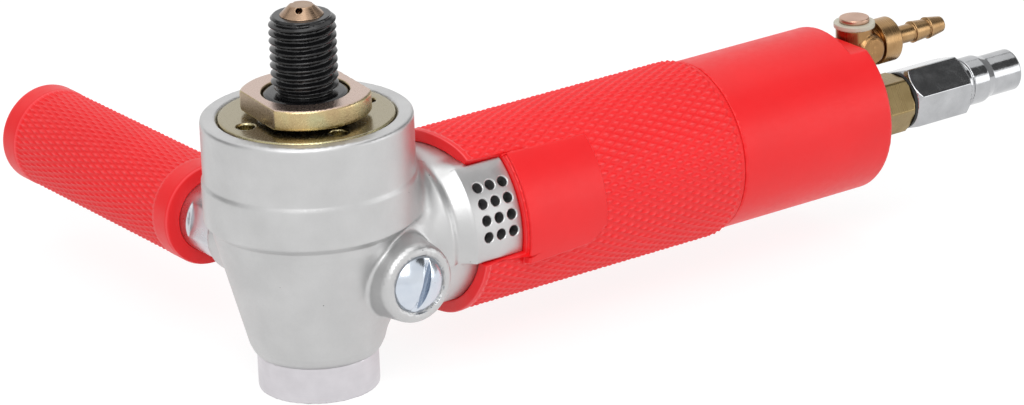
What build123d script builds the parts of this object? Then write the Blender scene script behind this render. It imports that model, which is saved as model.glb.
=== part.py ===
from build123d import *
import os
from math import acos, asin, ceil, cos, degrees, radians, sin, sqrt, tan

# Air wet polisher: a bevel gear head with a hollow water-fed spindle, a vane motor in the main
# handle, a twist throttle at the rear and a screw-in side handle. Millimetres and degrees.
# The origin is on the spindle axis in the flange's pad seat. +Z runs along the spindle to its
# threaded end, +X along the main handle to the air inlet, +Y along the side handle.

# Clearances: fixed fits, turning fits and parts that pass each other; then the least step of a
# cut, and how many times wider than the piece a cutting block is
fit_gap = 0.02
running_gap = 0.06
moving_gap = 0.3
cut_over = 1.0
oversize = 3.0

# Spindle: thread, shoulder, journals and water bore
thread_r = 8.0
thread_pitch = 2.0
thread_depth = 1.08
thread_root_flat = 0.5
thread_flank_angle = 30.0
thread_over = 0.03
thread_run_turns = 2
spindle_top_z = 18.8
spindle_chamfer = 1.1
relief_depth = 1.4
relief_length = 1.2
shoulder_r = 10.5
shoulder_height = 3.3
shoulder_drop = 0.2
seal_journal_r = 9.5
spindle_waist_r = 5.8
tail_r = 4.0
tail_length = 8.4
water_bore_r = 2.0

# Pad flange
flange_r = 15.75
flange_thickness = 5.0
flange_flats = 26.0
flange_chamfer = 0.8
flange_angle = -6.4

# Water nozzle in the spindle's end
nozzle_base_r = 5.3
nozzle_top_r = 2.85
nozzle_height = 2.4
nozzle_shank_r = 3.5
nozzle_shank = 6.0
nozzle_bore_r = 1.6
nozzle_roof = 0.9
jet_r = 0.82
jet_count = 4
jet_angle = 46.4
jet_tilt = 40.0

# Gear head casting
head_r = 25.8
rim_z = -5.9
head_step = 0.2
head_upper_height = 15.6
head_skirt_height = 10.1
cone_top_r = 23.6
cone_top_drop = 3.4
cone_height = 30.3
cone_bottom_r = 15.75
rim_round = 0.9
skirt_round = 1.6

# Bearing cover in the head's mouth
cover_r = 21.4
cover_drop = 0.05
cover_skirt = 1.4
cover_lip_r = 11.8
spanner_r = 2.25
spanner_depth = 3.0
spanner_circle_r = 16.1
spanner_count = 4
spanner_angle = -6.0

# Upper spindle bearing, the snap ring that holds it in the cover, and the seal above it
upper_inner_r = 7.5
upper_outer_r = 17.5
upper_width = 11.0
upper_depth = 5.55
upper_ball_r = 2.9
upper_ball_count = 8
upper_race_wall = 2.6
snap_ring_width = 1.2
snap_ring_reach = 1.9
snap_ring_groove = 0.7
snap_ring_gap_angle = 24.0
seal_inset = 0.5

# Bevel gears: their pitch cones meet where the handle axis crosses the spindle axis
handle_drop = 35.8
pinion_teeth = 12
gear_teeth = 30
gear_module = 7 / 6
gear_face = 6.0
pressure_angle = 20.0
profile_shift = 0.25
backlash = 0.2
tip_height = 1.0
root_depth = 1.25
flank_steps = 4
tooth_sink = 0.4
gear_bore_r = 7.0
gear_hub_r = 10.5
gear_hub_foot_r = 10.0
gear_hub_foot = 1.1
gear_back = 3.0
pinion_bore_r = 2.8
pinion_hub_r = 6.0
key_width = 3.0
key_length = 8.0
key_depth = 1.2
key_rise = 1.3
gear_clip_width = 1.2
gear_clip_r = 9.0
gear_clip_groove = 0.7
gear_clip_gap_angle = 90.0

# Lower spindle bearing, bottom cap and water seal
lower_inner_r = 5.0
lower_outer_r = 11.0
lower_drop = 6.2
lower_width = 6.0
lower_ball_r = 1.6
lower_ball_count = 10
lower_race_wall = 2.0
lower_ledge = 1.2
cap_r = 14.65
cap_height = 9.1
cap_chamfer_height = 2.5
cap_edge = 0.6
cap_chamber_r = 5.0
cap_chamber_depth = 2.0
cap_seal_depth = 4.0
water_seal_r = 6.5
water_seal_width = 3.2
cap_groove_inset = 2.0
cap_groove_depth = 1.5
cap_groove_width = 2.0
cap_jet_r = 0.8
cap_jet_tilt = 50.0

# Gear chamber inside the head
chamber_r = 19.5
chamber_height = 13.1
chamber_foot_r = 12.5
pinion_room = 0.6

# Neck, motor barrel and front motor bearing seat of the casting
neck_root_r = 16.0
neck_ridge_x = 27.0
neck_hollow_depth = 1.3
neck_hollow_width = 4.6
barrel_r = 19.7
barrel_wall = 3.2
front_bearing_x = 21.0

# Exhaust pad and its holes; angles are up from the side that faces -Y
pad_rise = 2.0
pad_length = 14.3
pad_low = -11.5
pad_high = 51.0
pad_hole_r = 1.3
pad_hole_columns = 3
pad_hole_rows = 4
pad_hole_first = 4.75
pad_hole_pitch = 3.65
pad_hole_low = 3.8
pad_hole_step = 11.0
felt_thickness = 1.9
felt_margin = 2.0
felt_margin_angle = 6.0

# Side handle: its axis below the handle axis, boss, stud and grip
side_drop = 3.0
stud_boss_r = 10.2
stud_boss_y = 31.4
stud_thread_r = 6.0
stud_thread = 13.0
stud_r = 9.1
stud_flats = 16.0
stud_flats_length = 11.0
stud_flats_angle = 12.0
stud_collar = 10.0
stud_core_r = 5.0
stud_core = 62.0
stud_edge = 0.5
side_grip_r = 12.85
side_grip_length = 79.7
side_grip_reach = 7.0
side_grip_edge = 1.2

# Plug in the spare boss
plug_x = 11.6
plug_boss_r = 9.2
plug_boss_y = -26.0
plug_boss_length = 16.0
plug_boss_round = 1.2
plug_recess_r = 6.4
plug_recess = 0.8
plug_thread_r = 5.0
plug_thread = 9.0
plug_dome = 3.6
plug_dome_gap = 0.2
plug_slot = 2.0
plug_slot_depth = 2.2
plug_slot_angle = 14.0

# Knurled grip sleeve with the exhaust deflector
grip_wall = 3.2
grip_setback = 2.4
grip_overhang = 0.5
grip_taper = 2.4
grip_taper_drop = 1.2
grip_slot_gap = 0.2
grip_slot_room = 1.6
deflector_foot = 0.2
deflector_wall = 2.0
deflector_rise = 1.6
deflector_length = 23.6
deflector_low = -21.0
deflector_high = 52.0

# Vane motor: end plates, cylinder, rotor and vanes
front_plate = 5.5
cylinder_length = 56.5
rear_plate = 14.0
plate_gap = 0.15
cylinder_lift = 1.5
cylinder_wall = 2.8
rotor_gap = 0.2
rotor_shaft_r = 4.0
rotor_tip = 0.9
rotor_tail = 1.8
vane_count = 5
vane_slot = 1.6
vane_slot_depth = 6.0
vane_inset = 0.1
motor_bearing_r = 11.0
motor_bearing_width = 7.0
motor_ball_r = 2.0
motor_ball_count = 7
motor_race_wall = 1.9
rotor_clip_width = 1.0
rotor_clip_r = 6.2
rotor_clip_groove = 0.5
rotor_clip_gap_angle = 90.0
feed_port_r = 1.3
feed_port_shift = 0.35
feed_port_angle = 50.0
exhaust_port_angle = 19.5
exhaust_port_height = 9.0
dowel_r = 0.9
dowel_rim = 1.45
dowel_angle = -20.0
dowel_depth = 4.0

# Water tube under the motor
tube_r = 1.0
tube_wall = 0.3
tube_rim = 2.3

# Inlet body, screwed into the barrel
body_spigot = 8.5
body_gap = 0.1
body_flange_rise = 0.6
body_flange = 1.4
body_recess_rim = 3.8
body_recess = 2.5
water_ring = 2.0
water_ring_depth = 1.7
water_ring_inset = 3.6
riser_r = 0.8
oring_section = 0.8
oring_inset = 1.2
feed_bore_r = 5.0
feed_bore_length = 24.0
air_bore_r = 4.2
air_bore_length = 24.5
shank_length = 16.5
port_r = 2.4
port_inset = 4.0
outlet_bore_r = 1.4

# Throttle sleeve and its stop pin
sleeve_wall = 5.3
sleeve_length = 47.1
sleeve_overhang = 1.0
sleeve_round = 0.6
sleeve_flat_depth = 3.65
sleeve_flat_length = 5.5
throttle_turn = 30.0
pocket_depth = 1.8
pocket_half_angle = 11.0
pocket_margin = 1.2
stop_pin_r = 1.5
stop_pin_x = 32.3
stop_pin_sink = 3.7
stop_pin_reach = 1.8
stop_groove_room = 0.4

# Air inlet: bushing, gasket and quick plug, on an axis below the handle axis
inlet_drop = 3.6
bush_shank_r = 6.5
bush_shank = 12.5
bush_neck_r = 6.6
bush_neck = 11.2
bush_hex_flats = 14.0
bush_hex = 9.6
bush_bore_r = 3.4
bush_tip_r = 5.0
bush_tip = 8.0
hex_sides = 6
hex_chamfer = 0.9
gasket_r = 7.4
gasket = 0.8
quick_hex_flats = 15.0
quick_hex = 18.0
quick_hex_turn = 11.5
quick_neck_r = 5.9
quick_neck = 2.4
quick_band_r = 6.35
quick_band = 5.0
quick_tip_r = 5.5
quick_taper = 2.5
quick_tip = 9.4
quick_bore_r = 3.2
quick_edge = 0.5

# Water valve: body, push spool, washers, O-rings, clip and hose barb, above the handle axis
water_rise = 14.2
valve_r = 4.8
valve_head = 1.4
valve_foot = 0.4
valve_arm_r = 4.4
valve_arm = 6.0
valve_boss_r = 4.1
valve_boss_shift = 1.8
valve_boss_reach = 6.0
valve_thread_r = 3.0
valve_thread = 3.0
valve_port_r = 1.1
outlet_drop = 3.6
outlet_r = 2.2
outlet_reach = 7.5
washer_r = 5.3
washer = 1.3
spool_r = 2.5
spool_waist_r = 1.6
spool_travel = 2.4
button_r = 3.85
button = 1.2
button_edge = 0.3
valve_clip_width = 0.6
valve_clip_r = 4.0
valve_clip_groove = 0.5
valve_clip_gap_angle = 90.0
spool_tail = 0.3
valve_oring = 0.6
valve_oring_inset = 1.3
valve_oring_low = 0.55
barb_collar_r = 5.8
barb_collar = 5.8
barb_collar_edge = 0.6
barb_stem_r = 2.35
barb_r = 2.85
barb_first = 7.0
barb_pitch = 5.05
barb_count = 2
barb_nose = 4.9
barb_nose_r = 2.05
barb_bore_r = 1.3

# Radii and offsets about the handle axis that follow from the barrel's radius
barrel_bore_r = barrel_r - barrel_wall
grip_r = barrel_r + grip_wall
cylinder_bore_r = barrel_bore_r - cylinder_wall
rotor_r = cylinder_bore_r - cylinder_lift - rotor_gap
feed_port_offset = (motor_bearing_r + barrel_bore_r) / 2 - feed_port_shift
dowel_offset = barrel_bore_r - dowel_rim
tube_offset = barrel_bore_r - tube_rim
body_r = barrel_bore_r - body_gap
body_flange_r = barrel_r + body_flange_rise
body_recess_r = body_r - body_recess_rim
sleeve_r = body_r + sleeve_wall
sleeve_flat = sleeve_r - sleeve_flat_depth

# Places along the handle that follow from the sizes above
barrel_start_x = neck_ridge_x + neck_hollow_width
pad_end_x = barrel_start_x + pad_length
grip_start_x = barrel_start_x + grip_setback
front_plate_x = front_bearing_x + motor_bearing_width
cylinder_x = front_plate_x + front_plate
cylinder_end_x = cylinder_x + cylinder_length
body_x = cylinder_end_x + rear_plate
rear_bearing_x = body_x - motor_bearing_width
barrel_end_x = body_x + body_spigot
body_flange_end_x = barrel_end_x + body_flange
grip_end_x = body_flange_end_x + grip_overhang
sleeve_x = grip_end_x + moving_gap
sleeve_end_x = sleeve_x + sleeve_length
body_end_x = sleeve_end_x - sleeve_overhang
bush_hex_x = body_end_x + bush_neck
gasket_x = bush_hex_x + bush_hex
quick_x = gasket_x + gasket
quick_neck_x = quick_x + quick_hex
quick_band_x = quick_neck_x + quick_neck
quick_taper_x = quick_band_x + quick_band
quick_tip_x = quick_taper_x + quick_taper
quick_end_x = quick_tip_x + quick_tip
valve_x = sleeve_end_x + moving_gap + washer_r
valve_arm_end_x = valve_x + valve_arm
barb_collar_end_x = valve_arm_end_x + barb_collar
barb_last_x = barb_collar_end_x + barb_first + barb_pitch * (barb_count - 1)
barb_end_x = barb_last_x + barb_nose

# Heights that follow from the sizes above
head_step_z = rim_z - head_upper_height
skirt_z = head_step_z - head_skirt_height
cone_top_z = skirt_z - cone_top_drop
cone_bottom_z = cone_top_z - cone_height
handle_z = rim_z - handle_drop
side_z = handle_z - side_drop
inlet_z = handle_z - inlet_drop
water_z = handle_z + water_rise
outlet_z = water_z - outlet_drop
tube_z = handle_z - tube_offset
upper_top_z = rim_z - cover_drop - upper_depth
upper_bottom_z = upper_top_z - upper_width
cover_bottom_z = upper_bottom_z - cover_skirt
lower_top_z = handle_z - lower_drop
lower_bottom_z = lower_top_z - lower_width
tail_end_z = lower_bottom_z - tail_length
cap_groove_z = lower_bottom_z - cap_groove_inset
cap_bottom_z = cone_bottom_z - cap_height
shoulder_top_z = -shoulder_drop
shoulder_bottom_z = shoulder_top_z - shoulder_height
valve_top_z = water_z + valve_arm_r + valve_head
valve_bottom_z = outlet_z - outlet_r - valve_foot
washer_low_z = valve_bottom_z - washer
button_z = valve_top_z + washer + running_gap
clip_top_z = washer_low_z - spool_travel - running_gap
spool_end_z = clip_top_z - valve_clip_width - spool_tail

# Gear geometry: pitch radii, cone length and the share of it at the small end of the teeth
gear_pitch_r = gear_module * gear_teeth / 2
pinion_pitch_r = gear_module * pinion_teeth / 2
cone_length = sqrt(gear_pitch_r**2 + pinion_pitch_r**2)
toe_share = (cone_length - gear_face) / cone_length
lean_x = gear_pitch_r / cone_length
lean_z = pinion_pitch_r / cone_length
pinion_tip = (tip_height + profile_shift) * gear_module
pinion_root = (root_depth - profile_shift) * gear_module
gear_tip = (tip_height - profile_shift) * gear_module
gear_root = (root_depth + profile_shift) * gear_module
shift_width = 2 * profile_shift * gear_module * tan(radians(pressure_angle))
tooth_width = (gear_module * radians(180.0) - backlash) / 2
pinion_toe_x = (gear_pitch_r - pinion_tip * lean_z) * toe_share
pinion_heel_r = pinion_pitch_r + pinion_tip * lean_x
gear_hub_foot_z = handle_z + (pinion_pitch_r + gear_root * lean_x) * toe_share - gear_hub_foot

handle_axis = Axis((0, 0, handle_z), (1, 0, 0))
side_axis = Axis((0, 0, side_z), (0, 1, 0))
inlet_axis = Axis((0, 0, inlet_z), (1, 0, 0))
water_axis = Axis((0, 0, water_z), (1, 0, 0))
valve_axis = Axis((valve_x, 0, 0), (0, 0, 1))


def lengthwise(height, turn=90.0):
    """A plane along +X at this height; its second axis points outward at this turn from +Y."""
    outward_z = (0, -sin(radians(turn)), cos(radians(turn)))
    return Plane((0, 0, height), x_dir=(1, 0, 0), z_dir=outward_z)


def square_to_x(x, height):
    """A plane square to +X at this place, with +Y and +Z as its own axes."""
    return Plane((x, 0, height), x_dir=(0, 1, 0), z_dir=(1, 0, 0))


def square_to_y(x, y, height):
    """A plane square to +Y at this place, with +X and -Z as its own axes."""
    return Plane((x, y, height), x_dir=(1, 0, 0), z_dir=(0, 1, 0))


def outward_plane(x, turn, radius):
    """A plane that faces outward from the handle axis at this turn from +Y and this radius."""
    outward = Vector(0, cos(radians(turn)), sin(radians(turn)))
    return Plane(Vector(x, 0, handle_z) + outward * radius, x_dir=(1, 0, 0), z_dir=outward)


def from_side(angle):
    """Turn about +X from +Y, for an angle that is measured up from -Y."""
    return 180.0 - angle


def box_points(u0, u1, v0, v1):
    """Corners of a rectangle in a sketch."""
    return [(u0, v0), (u1, v0), (u1, v1), (u0, v1)]


def fan_points(radius, middle, width):
    """A wedge from the centre that opens a ring over this width in degrees."""
    left = radians(middle - width / 2)
    right = radians(middle + width / 2)
    return [(0, 0), (radius * cos(left), radius * sin(left)), (radius * cos(right), radius * sin(right))]


def involute(angle):
    """Involute function of an angle in radians."""
    return tan(angle) - angle


def tooth_points(pitch_r, width, tip, root):
    """Outline of a gear tooth about its pitch point: across the tooth, then outward."""
    pressure = radians(pressure_angle)
    base_r = pitch_r * cos(pressure)
    foot_r = max(base_r, pitch_r - root)
    tip_r = pitch_r + tip
    flank = []
    for step in range(flank_steps + 1):
        radius = foot_r + (tip_r - foot_r) * step / flank_steps
        half = width / (2 * pitch_r) + involute(pressure) - involute(acos(base_r / radius))
        flank.append((radius * sin(half), radius * cos(half) - pitch_r))
    foot = (flank[0][0], -root - tooth_sink)
    flank.insert(0, foot)
    return flank + [(-across, outward) for across, outward in reversed(flank)]


lengthways = lengthwise(handle_z)
inlet_lengthways = lengthwise(inlet_z)
water_lengthways = lengthwise(water_z)
side_lengthways = Plane((0, 0, side_z), x_dir=(0, 1, 0), z_dir=(1, 0, 0))
valve_upright = Plane((valve_x, 0, 0), x_dir=(1, 0, 0), z_dir=(0, -1, 0))

os.makedirs("parts", exist_ok=True)

# Housing: one casting of gear head, neck, motor barrel, exhaust pad and two side bosses
with BuildPart() as housing:
    with BuildSketch(Plane.XZ):
        Polygon(
            (0, rim_z),
            (head_r, rim_z),
            (head_r, head_step_z),
            (head_r - head_step, head_step_z),
            (head_r - head_step, skirt_z),
            (cone_top_r, cone_top_z),
            (cone_bottom_r, cone_bottom_z),
            (0, cone_bottom_z),
            align=None,
        )
    revolve(axis=Axis.Z)
    fillet(housing.edges().filter_by(GeomType.CIRCLE).group_by(Axis.Z)[-1], radius=rim_round)
    skirt_edges = housing.edges().filter_by(GeomType.CIRCLE)
    fillet(skirt_edges.filter_by_position(Axis.Z, skirt_z - fit_gap, skirt_z + fit_gap), radius=skirt_round)
    with BuildSketch(lengthways):
        Polygon(
            (0, 0),
            (0, neck_root_r),
            (neck_ridge_x, barrel_r),
            (neck_ridge_x + neck_hollow_width / 2, barrel_r - neck_hollow_depth),
            (barrel_start_x, barrel_r),
            (barrel_end_x, barrel_r),
            (barrel_end_x, 0),
            align=None,
        )
    revolve(axis=handle_axis)
    with BuildSketch(lengthwise(handle_z, from_side(pad_high))):
        Polygon(
            *box_points(barrel_start_x, pad_end_x, barrel_bore_r + cut_over, barrel_r + pad_rise),
            align=None,
        )
    revolve(axis=handle_axis, revolution_arc=pad_high - pad_low)
    with BuildSketch(square_to_y(0, 0, side_z)):
        Circle(stud_boss_r)
    extrude(amount=stud_boss_y)
    with BuildSketch(square_to_y(plug_x, plug_boss_y, side_z)):
        Circle(plug_boss_r)
    extrude(amount=plug_boss_length)
    fillet(housing.edges().filter_by(GeomType.CIRCLE).group_by(Axis.Y)[0], radius=plug_boss_round)
    # Mouth for the cover, gear chamber and seat of the lower bearing
    with BuildSketch(Plane.XZ):
        Polygon(
            (0, rim_z),
            (cover_r + fit_gap, rim_z),
            (cover_r + fit_gap, cover_bottom_z),
            (chamber_r, cover_bottom_z),
            (chamber_r, cover_bottom_z - chamber_height),
            (chamber_foot_r, lower_top_z + lower_ledge),
            (lower_outer_r - lower_ledge, lower_top_z + lower_ledge),
            (lower_outer_r - lower_ledge, lower_top_z),
            (lower_outer_r + fit_gap, lower_top_z),
            (lower_outer_r + fit_gap, cone_bottom_z),
            (0, cone_bottom_z),
            align=None,
        )
    revolve(axis=Axis.Z, mode=Mode.SUBTRACT)
    # Passage of the pinion, front motor bearing seat and motor bore
    with BuildSketch(lengthways):
        Polygon(
            (pinion_toe_x - pinion_room, 0),
            (pinion_toe_x - pinion_room, pinion_heel_r * toe_share + pinion_room),
            (gear_pitch_r, pinion_heel_r + pinion_room),
            (front_bearing_x, pinion_heel_r + pinion_room),
            (front_bearing_x, motor_bearing_r + fit_gap),
            (front_plate_x, motor_bearing_r + fit_gap),
            (front_plate_x, barrel_bore_r),
            (barrel_end_x, barrel_bore_r),
            (barrel_end_x, 0),
            align=None,
        )
    revolve(axis=handle_axis, mode=Mode.SUBTRACT)
    # Pocket of the silencer felt, and the exhaust holes in front of it
    felt_x = barrel_start_x + felt_margin
    felt_end_x = pad_end_x - felt_margin
    felt_low = pad_low + felt_margin_angle
    felt_high = pad_high - felt_margin_angle
    with BuildSketch(lengthwise(handle_z, from_side(felt_high))):
        Polygon(*box_points(felt_x, felt_end_x, 0, barrel_bore_r + felt_thickness), align=None)
    revolve(axis=handle_axis, revolution_arc=felt_high - felt_low, mode=Mode.SUBTRACT)
    for row in range(pad_hole_rows):
        for column in range(pad_hole_columns):
            hole_x = barrel_start_x + pad_hole_first + pad_hole_pitch * column
            hole_turn = from_side(pad_hole_low + pad_hole_step * row)
            with BuildSketch(outward_plane(hole_x, hole_turn, barrel_bore_r)):
                Circle(pad_hole_r)
            extrude(amount=barrel_r + pad_rise + cut_over - barrel_bore_r, mode=Mode.SUBTRACT)
    # Holes for the stud and the plug, and the water gallery to the bottom cap
    with BuildSketch(square_to_y(0, stud_boss_y, side_z)):
        Circle(stud_thread_r + fit_gap)
    extrude(amount=-stud_thread, mode=Mode.SUBTRACT)
    with BuildSketch(square_to_y(plug_x, plug_boss_y, side_z)):
        Circle(plug_recess_r)
    extrude(amount=plug_recess, mode=Mode.SUBTRACT)
    with BuildSketch(square_to_y(plug_x, plug_boss_y, side_z)):
        Circle(plug_thread_r + fit_gap)
    extrude(amount=plug_recess + plug_thread, mode=Mode.SUBTRACT)
    gallery_start = Vector(lower_outer_r - cut_over, 0, cap_groove_z)
    gallery_way = Vector(front_plate_x, 0, tube_z) - gallery_start
    with BuildSketch(Plane(gallery_start, z_dir=gallery_way)):
        Circle(tube_r)
    extrude(amount=gallery_way.length + cut_over, mode=Mode.SUBTRACT)
housing.part.label = "housing"
export_step(housing.part, "parts/housing.step")

# Bearing cover: a threaded cup that holds the upper bearing, with holes for a pin spanner
with BuildPart() as bearing_cover:
    with BuildSketch(Plane.XZ):
        Polygon(
            (cover_lip_r, rim_z - cover_drop),
            (cover_r, rim_z - cover_drop),
            (cover_r, cover_bottom_z),
            (upper_outer_r + fit_gap, cover_bottom_z),
            (upper_outer_r + fit_gap, upper_bottom_z - snap_ring_width),
            (upper_outer_r + snap_ring_groove, upper_bottom_z - snap_ring_width),
            (upper_outer_r + snap_ring_groove, upper_bottom_z),
            (upper_outer_r + fit_gap, upper_bottom_z),
            (upper_outer_r + fit_gap, upper_top_z),
            (cover_lip_r, upper_top_z),
            align=None,
        )
    revolve(axis=Axis.Z)
    with BuildSketch(Plane.XY.offset(rim_z - cover_drop)):
        with PolarLocations(spanner_circle_r, spanner_count, start_angle=spanner_angle):
            Circle(spanner_r)
    extrude(amount=-spanner_depth, mode=Mode.SUBTRACT)
bearing_cover.part.label = "bearing_cover"
export_step(bearing_cover.part, "parts/bearing_cover.step")

# Snap ring under the upper bearing
with BuildPart() as bearing_snap_ring:
    with BuildSketch(Plane.XY.offset(upper_bottom_z - fit_gap)):
        Circle(upper_outer_r + snap_ring_groove - fit_gap)
        Circle(upper_outer_r - snap_ring_reach, mode=Mode.SUBTRACT)
        Polygon(*fan_points(2 * upper_outer_r, 0, snap_ring_gap_angle), align=None, mode=Mode.SUBTRACT)
    extrude(amount=2 * fit_gap - snap_ring_width)
bearing_snap_ring.part.label = "bearing_snap_ring"
export_step(bearing_snap_ring.part, "parts/bearing_snap_ring.step")

# Lip seal in the cover, round the spindle's seal journal
with BuildPart() as spindle_seal:
    seal_inner_r = seal_journal_r + running_gap
    seal_outer_r = cover_lip_r - fit_gap
    seal_top_z = rim_z - cover_drop - seal_inset
    with BuildSketch(Plane.XZ):
        Polygon(*box_points(seal_inner_r, seal_outer_r, upper_top_z + seal_inset, seal_top_z), align=None)
    revolve(axis=Axis.Z)
spindle_seal.part.label = "spindle_seal"
export_step(spindle_seal.part, "parts/spindle_seal.step")

# Upper spindle bearing
upper_pitch_r = (upper_inner_r + upper_outer_r) / 2
upper_middle_z = upper_bottom_z + upper_width / 2
with BuildPart() as upper_bearing_outer:
    with BuildSketch(Plane.XZ):
        Polygon(
            *box_points(upper_outer_r - upper_race_wall, upper_outer_r, upper_bottom_z, upper_top_z),
            align=None,
        )
        with Locations((upper_pitch_r, upper_middle_z)):
            Circle(upper_ball_r + running_gap, mode=Mode.SUBTRACT)
    revolve(axis=Axis.Z)
upper_bearing_outer.part.label = "upper_bearing_outer"
export_step(upper_bearing_outer.part, "parts/upper_bearing_outer.step")

with BuildPart() as upper_bearing_inner:
    with BuildSketch(Plane.XZ):
        Polygon(
            *box_points(
                upper_inner_r + fit_gap,
                upper_inner_r + upper_race_wall,
                upper_bottom_z,
                upper_top_z,
            ),
            align=None,
        )
        with Locations((upper_pitch_r, upper_middle_z)):
            Circle(upper_ball_r + running_gap, mode=Mode.SUBTRACT)
    revolve(axis=Axis.Z)
upper_bearing_inner.part.label = "upper_bearing_inner"
export_step(upper_bearing_inner.part, "parts/upper_bearing_inner.step")

with BuildPart() as upper_bearing_balls:
    with Locations(Plane.XY.offset(upper_middle_z)):
        with PolarLocations(upper_pitch_r, upper_ball_count):
            Sphere(upper_ball_r)
upper_bearing_balls.part.label = "upper_bearing_balls"
export_step(upper_bearing_balls.part, "parts/upper_bearing_balls.step")

# Lower spindle bearing
lower_pitch_r = (lower_inner_r + lower_outer_r) / 2
lower_middle_z = lower_bottom_z + lower_width / 2
with BuildPart() as lower_bearing_outer:
    with BuildSketch(Plane.XZ):
        Polygon(
            *box_points(lower_outer_r - lower_race_wall, lower_outer_r, lower_bottom_z, lower_top_z),
            align=None,
        )
        with Locations((lower_pitch_r, lower_middle_z)):
            Circle(lower_ball_r + running_gap, mode=Mode.SUBTRACT)
    revolve(axis=Axis.Z)
lower_bearing_outer.part.label = "lower_bearing_outer"
export_step(lower_bearing_outer.part, "parts/lower_bearing_outer.step")

with BuildPart() as lower_bearing_inner:
    with BuildSketch(Plane.XZ):
        Polygon(
            *box_points(
                lower_inner_r + fit_gap,
                lower_inner_r + lower_race_wall,
                lower_bottom_z,
                lower_top_z,
            ),
            align=None,
        )
        with Locations((lower_pitch_r, lower_middle_z)):
            Circle(lower_ball_r + running_gap, mode=Mode.SUBTRACT)
    revolve(axis=Axis.Z)
lower_bearing_inner.part.label = "lower_bearing_inner"
export_step(lower_bearing_inner.part, "parts/lower_bearing_inner.step")

with BuildPart() as lower_bearing_balls:
    with Locations(Plane.XY.offset(lower_middle_z)):
        with PolarLocations(lower_pitch_r, lower_ball_count):
            Sphere(lower_ball_r)
lower_bearing_balls.part.label = "lower_bearing_balls"
export_step(lower_bearing_balls.part, "parts/lower_bearing_balls.step")

# Spindle: turned shaft with a cut thread, a keyway and a water bore right through
gear_clip_z = gear_hub_foot_z - gear_clip_width
with BuildPart() as spindle:
    with BuildSketch(Plane.XZ):
        Polygon(
            (0, spindle_top_z),
            (thread_r - spindle_chamfer, spindle_top_z),
            (thread_r, spindle_top_z - spindle_chamfer),
            (thread_r, shoulder_top_z + relief_length),
            (thread_r - relief_depth, shoulder_top_z + relief_length),
            (thread_r - relief_depth, shoulder_top_z),
            (shoulder_r, shoulder_top_z),
            (shoulder_r, shoulder_bottom_z),
            (seal_journal_r, shoulder_bottom_z),
            (seal_journal_r, upper_top_z),
            (upper_inner_r, upper_top_z),
            (upper_inner_r, upper_bottom_z),
            (gear_bore_r, upper_bottom_z),
            (gear_bore_r, gear_hub_foot_z),
            (gear_bore_r - gear_clip_groove, gear_hub_foot_z),
            (gear_bore_r - gear_clip_groove, gear_clip_z),
            (gear_bore_r, gear_clip_z),
            (gear_bore_r, gear_clip_z - gear_clip_width),
            (spindle_waist_r, gear_clip_z - gear_clip_width),
            (spindle_waist_r, lower_top_z),
            (lower_inner_r, lower_top_z),
            (lower_inner_r, lower_bottom_z),
            (tail_r, lower_bottom_z),
            (tail_r, tail_end_z),
            (0, tail_end_z),
            align=None,
        )
    revolve(axis=Axis.Z)
    with BuildSketch(Plane.XY.offset(spindle_top_z)):
        Circle(water_bore_r)
    extrude(amount=tail_end_z - spindle_top_z, mode=Mode.SUBTRACT)
    with BuildSketch(Plane.XY.offset(spindle_top_z)):
        Circle(nozzle_shank_r + fit_gap)
    extrude(amount=-nozzle_shank, mode=Mode.SUBTRACT)
    with BuildSketch(Plane.XY.offset(upper_bottom_z)):
        Polygon(
            *box_points(-gear_bore_r - cut_over, key_depth - gear_bore_r, -key_width / 2, key_width / 2),
            align=None,
        )
    extrude(amount=-key_length, mode=Mode.SUBTRACT)
    # Thread: one V groove wound from the relief up past the end, cut a few turns at a time
    root_half = thread_root_flat / 2
    mouth_half = root_half + (thread_depth + thread_over) * tan(radians(thread_flank_angle))
    thread_start_z = shoulder_top_z + mouth_half + fit_gap
    run_height = thread_pitch * thread_run_turns
    for run in range(ceil((spindle_top_z - thread_start_z) / run_height)):
        run_start = (0, 0, thread_start_z + run_height * run)
        with BuildLine(mode=Mode.PRIVATE) as thread_path:
            Helix(pitch=thread_pitch, height=run_height, radius=thread_r, center=run_start)
        with BuildSketch(Plane(thread_path.line @ 0, x_dir=(1, 0, 0), z_dir=thread_path.line % 0)):
            Polygon(
                (-thread_depth, -root_half),
                (thread_over, -mouth_half),
                (thread_over, mouth_half),
                (-thread_depth, root_half),
                align=None,
            )
        sweep(path=thread_path.line, is_frenet=True, mode=Mode.SUBTRACT)
spindle.part.label = "spindle"
export_step(spindle.part, "parts/spindle.step")

# Pad flange under the spindle's shoulder, with two spanner flats
with BuildPart() as pad_flange:
    with BuildSketch(Plane.XZ):
        Polygon(
            (shoulder_r + fit_gap, 0),
            (flange_r - flange_chamfer, 0),
            (flange_r, -flange_chamfer),
            (flange_r, flange_chamfer - flange_thickness),
            (flange_r - flange_chamfer, -flange_thickness),
            (seal_journal_r + fit_gap, -flange_thickness),
            (seal_journal_r + fit_gap, shoulder_bottom_z - fit_gap),
            (shoulder_r + fit_gap, shoulder_bottom_z - fit_gap),
            align=None,
        )
    revolve(axis=Axis.Z)
    with BuildSketch(Plane.XY):
        Rectangle(flange_flats, oversize * flange_r, rotation=flange_angle)
    extrude(amount=-flange_thickness, mode=Mode.INTERSECT)
pad_flange.part.label = "pad_flange"
export_step(pad_flange.part, "parts/pad_flange.step")

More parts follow.
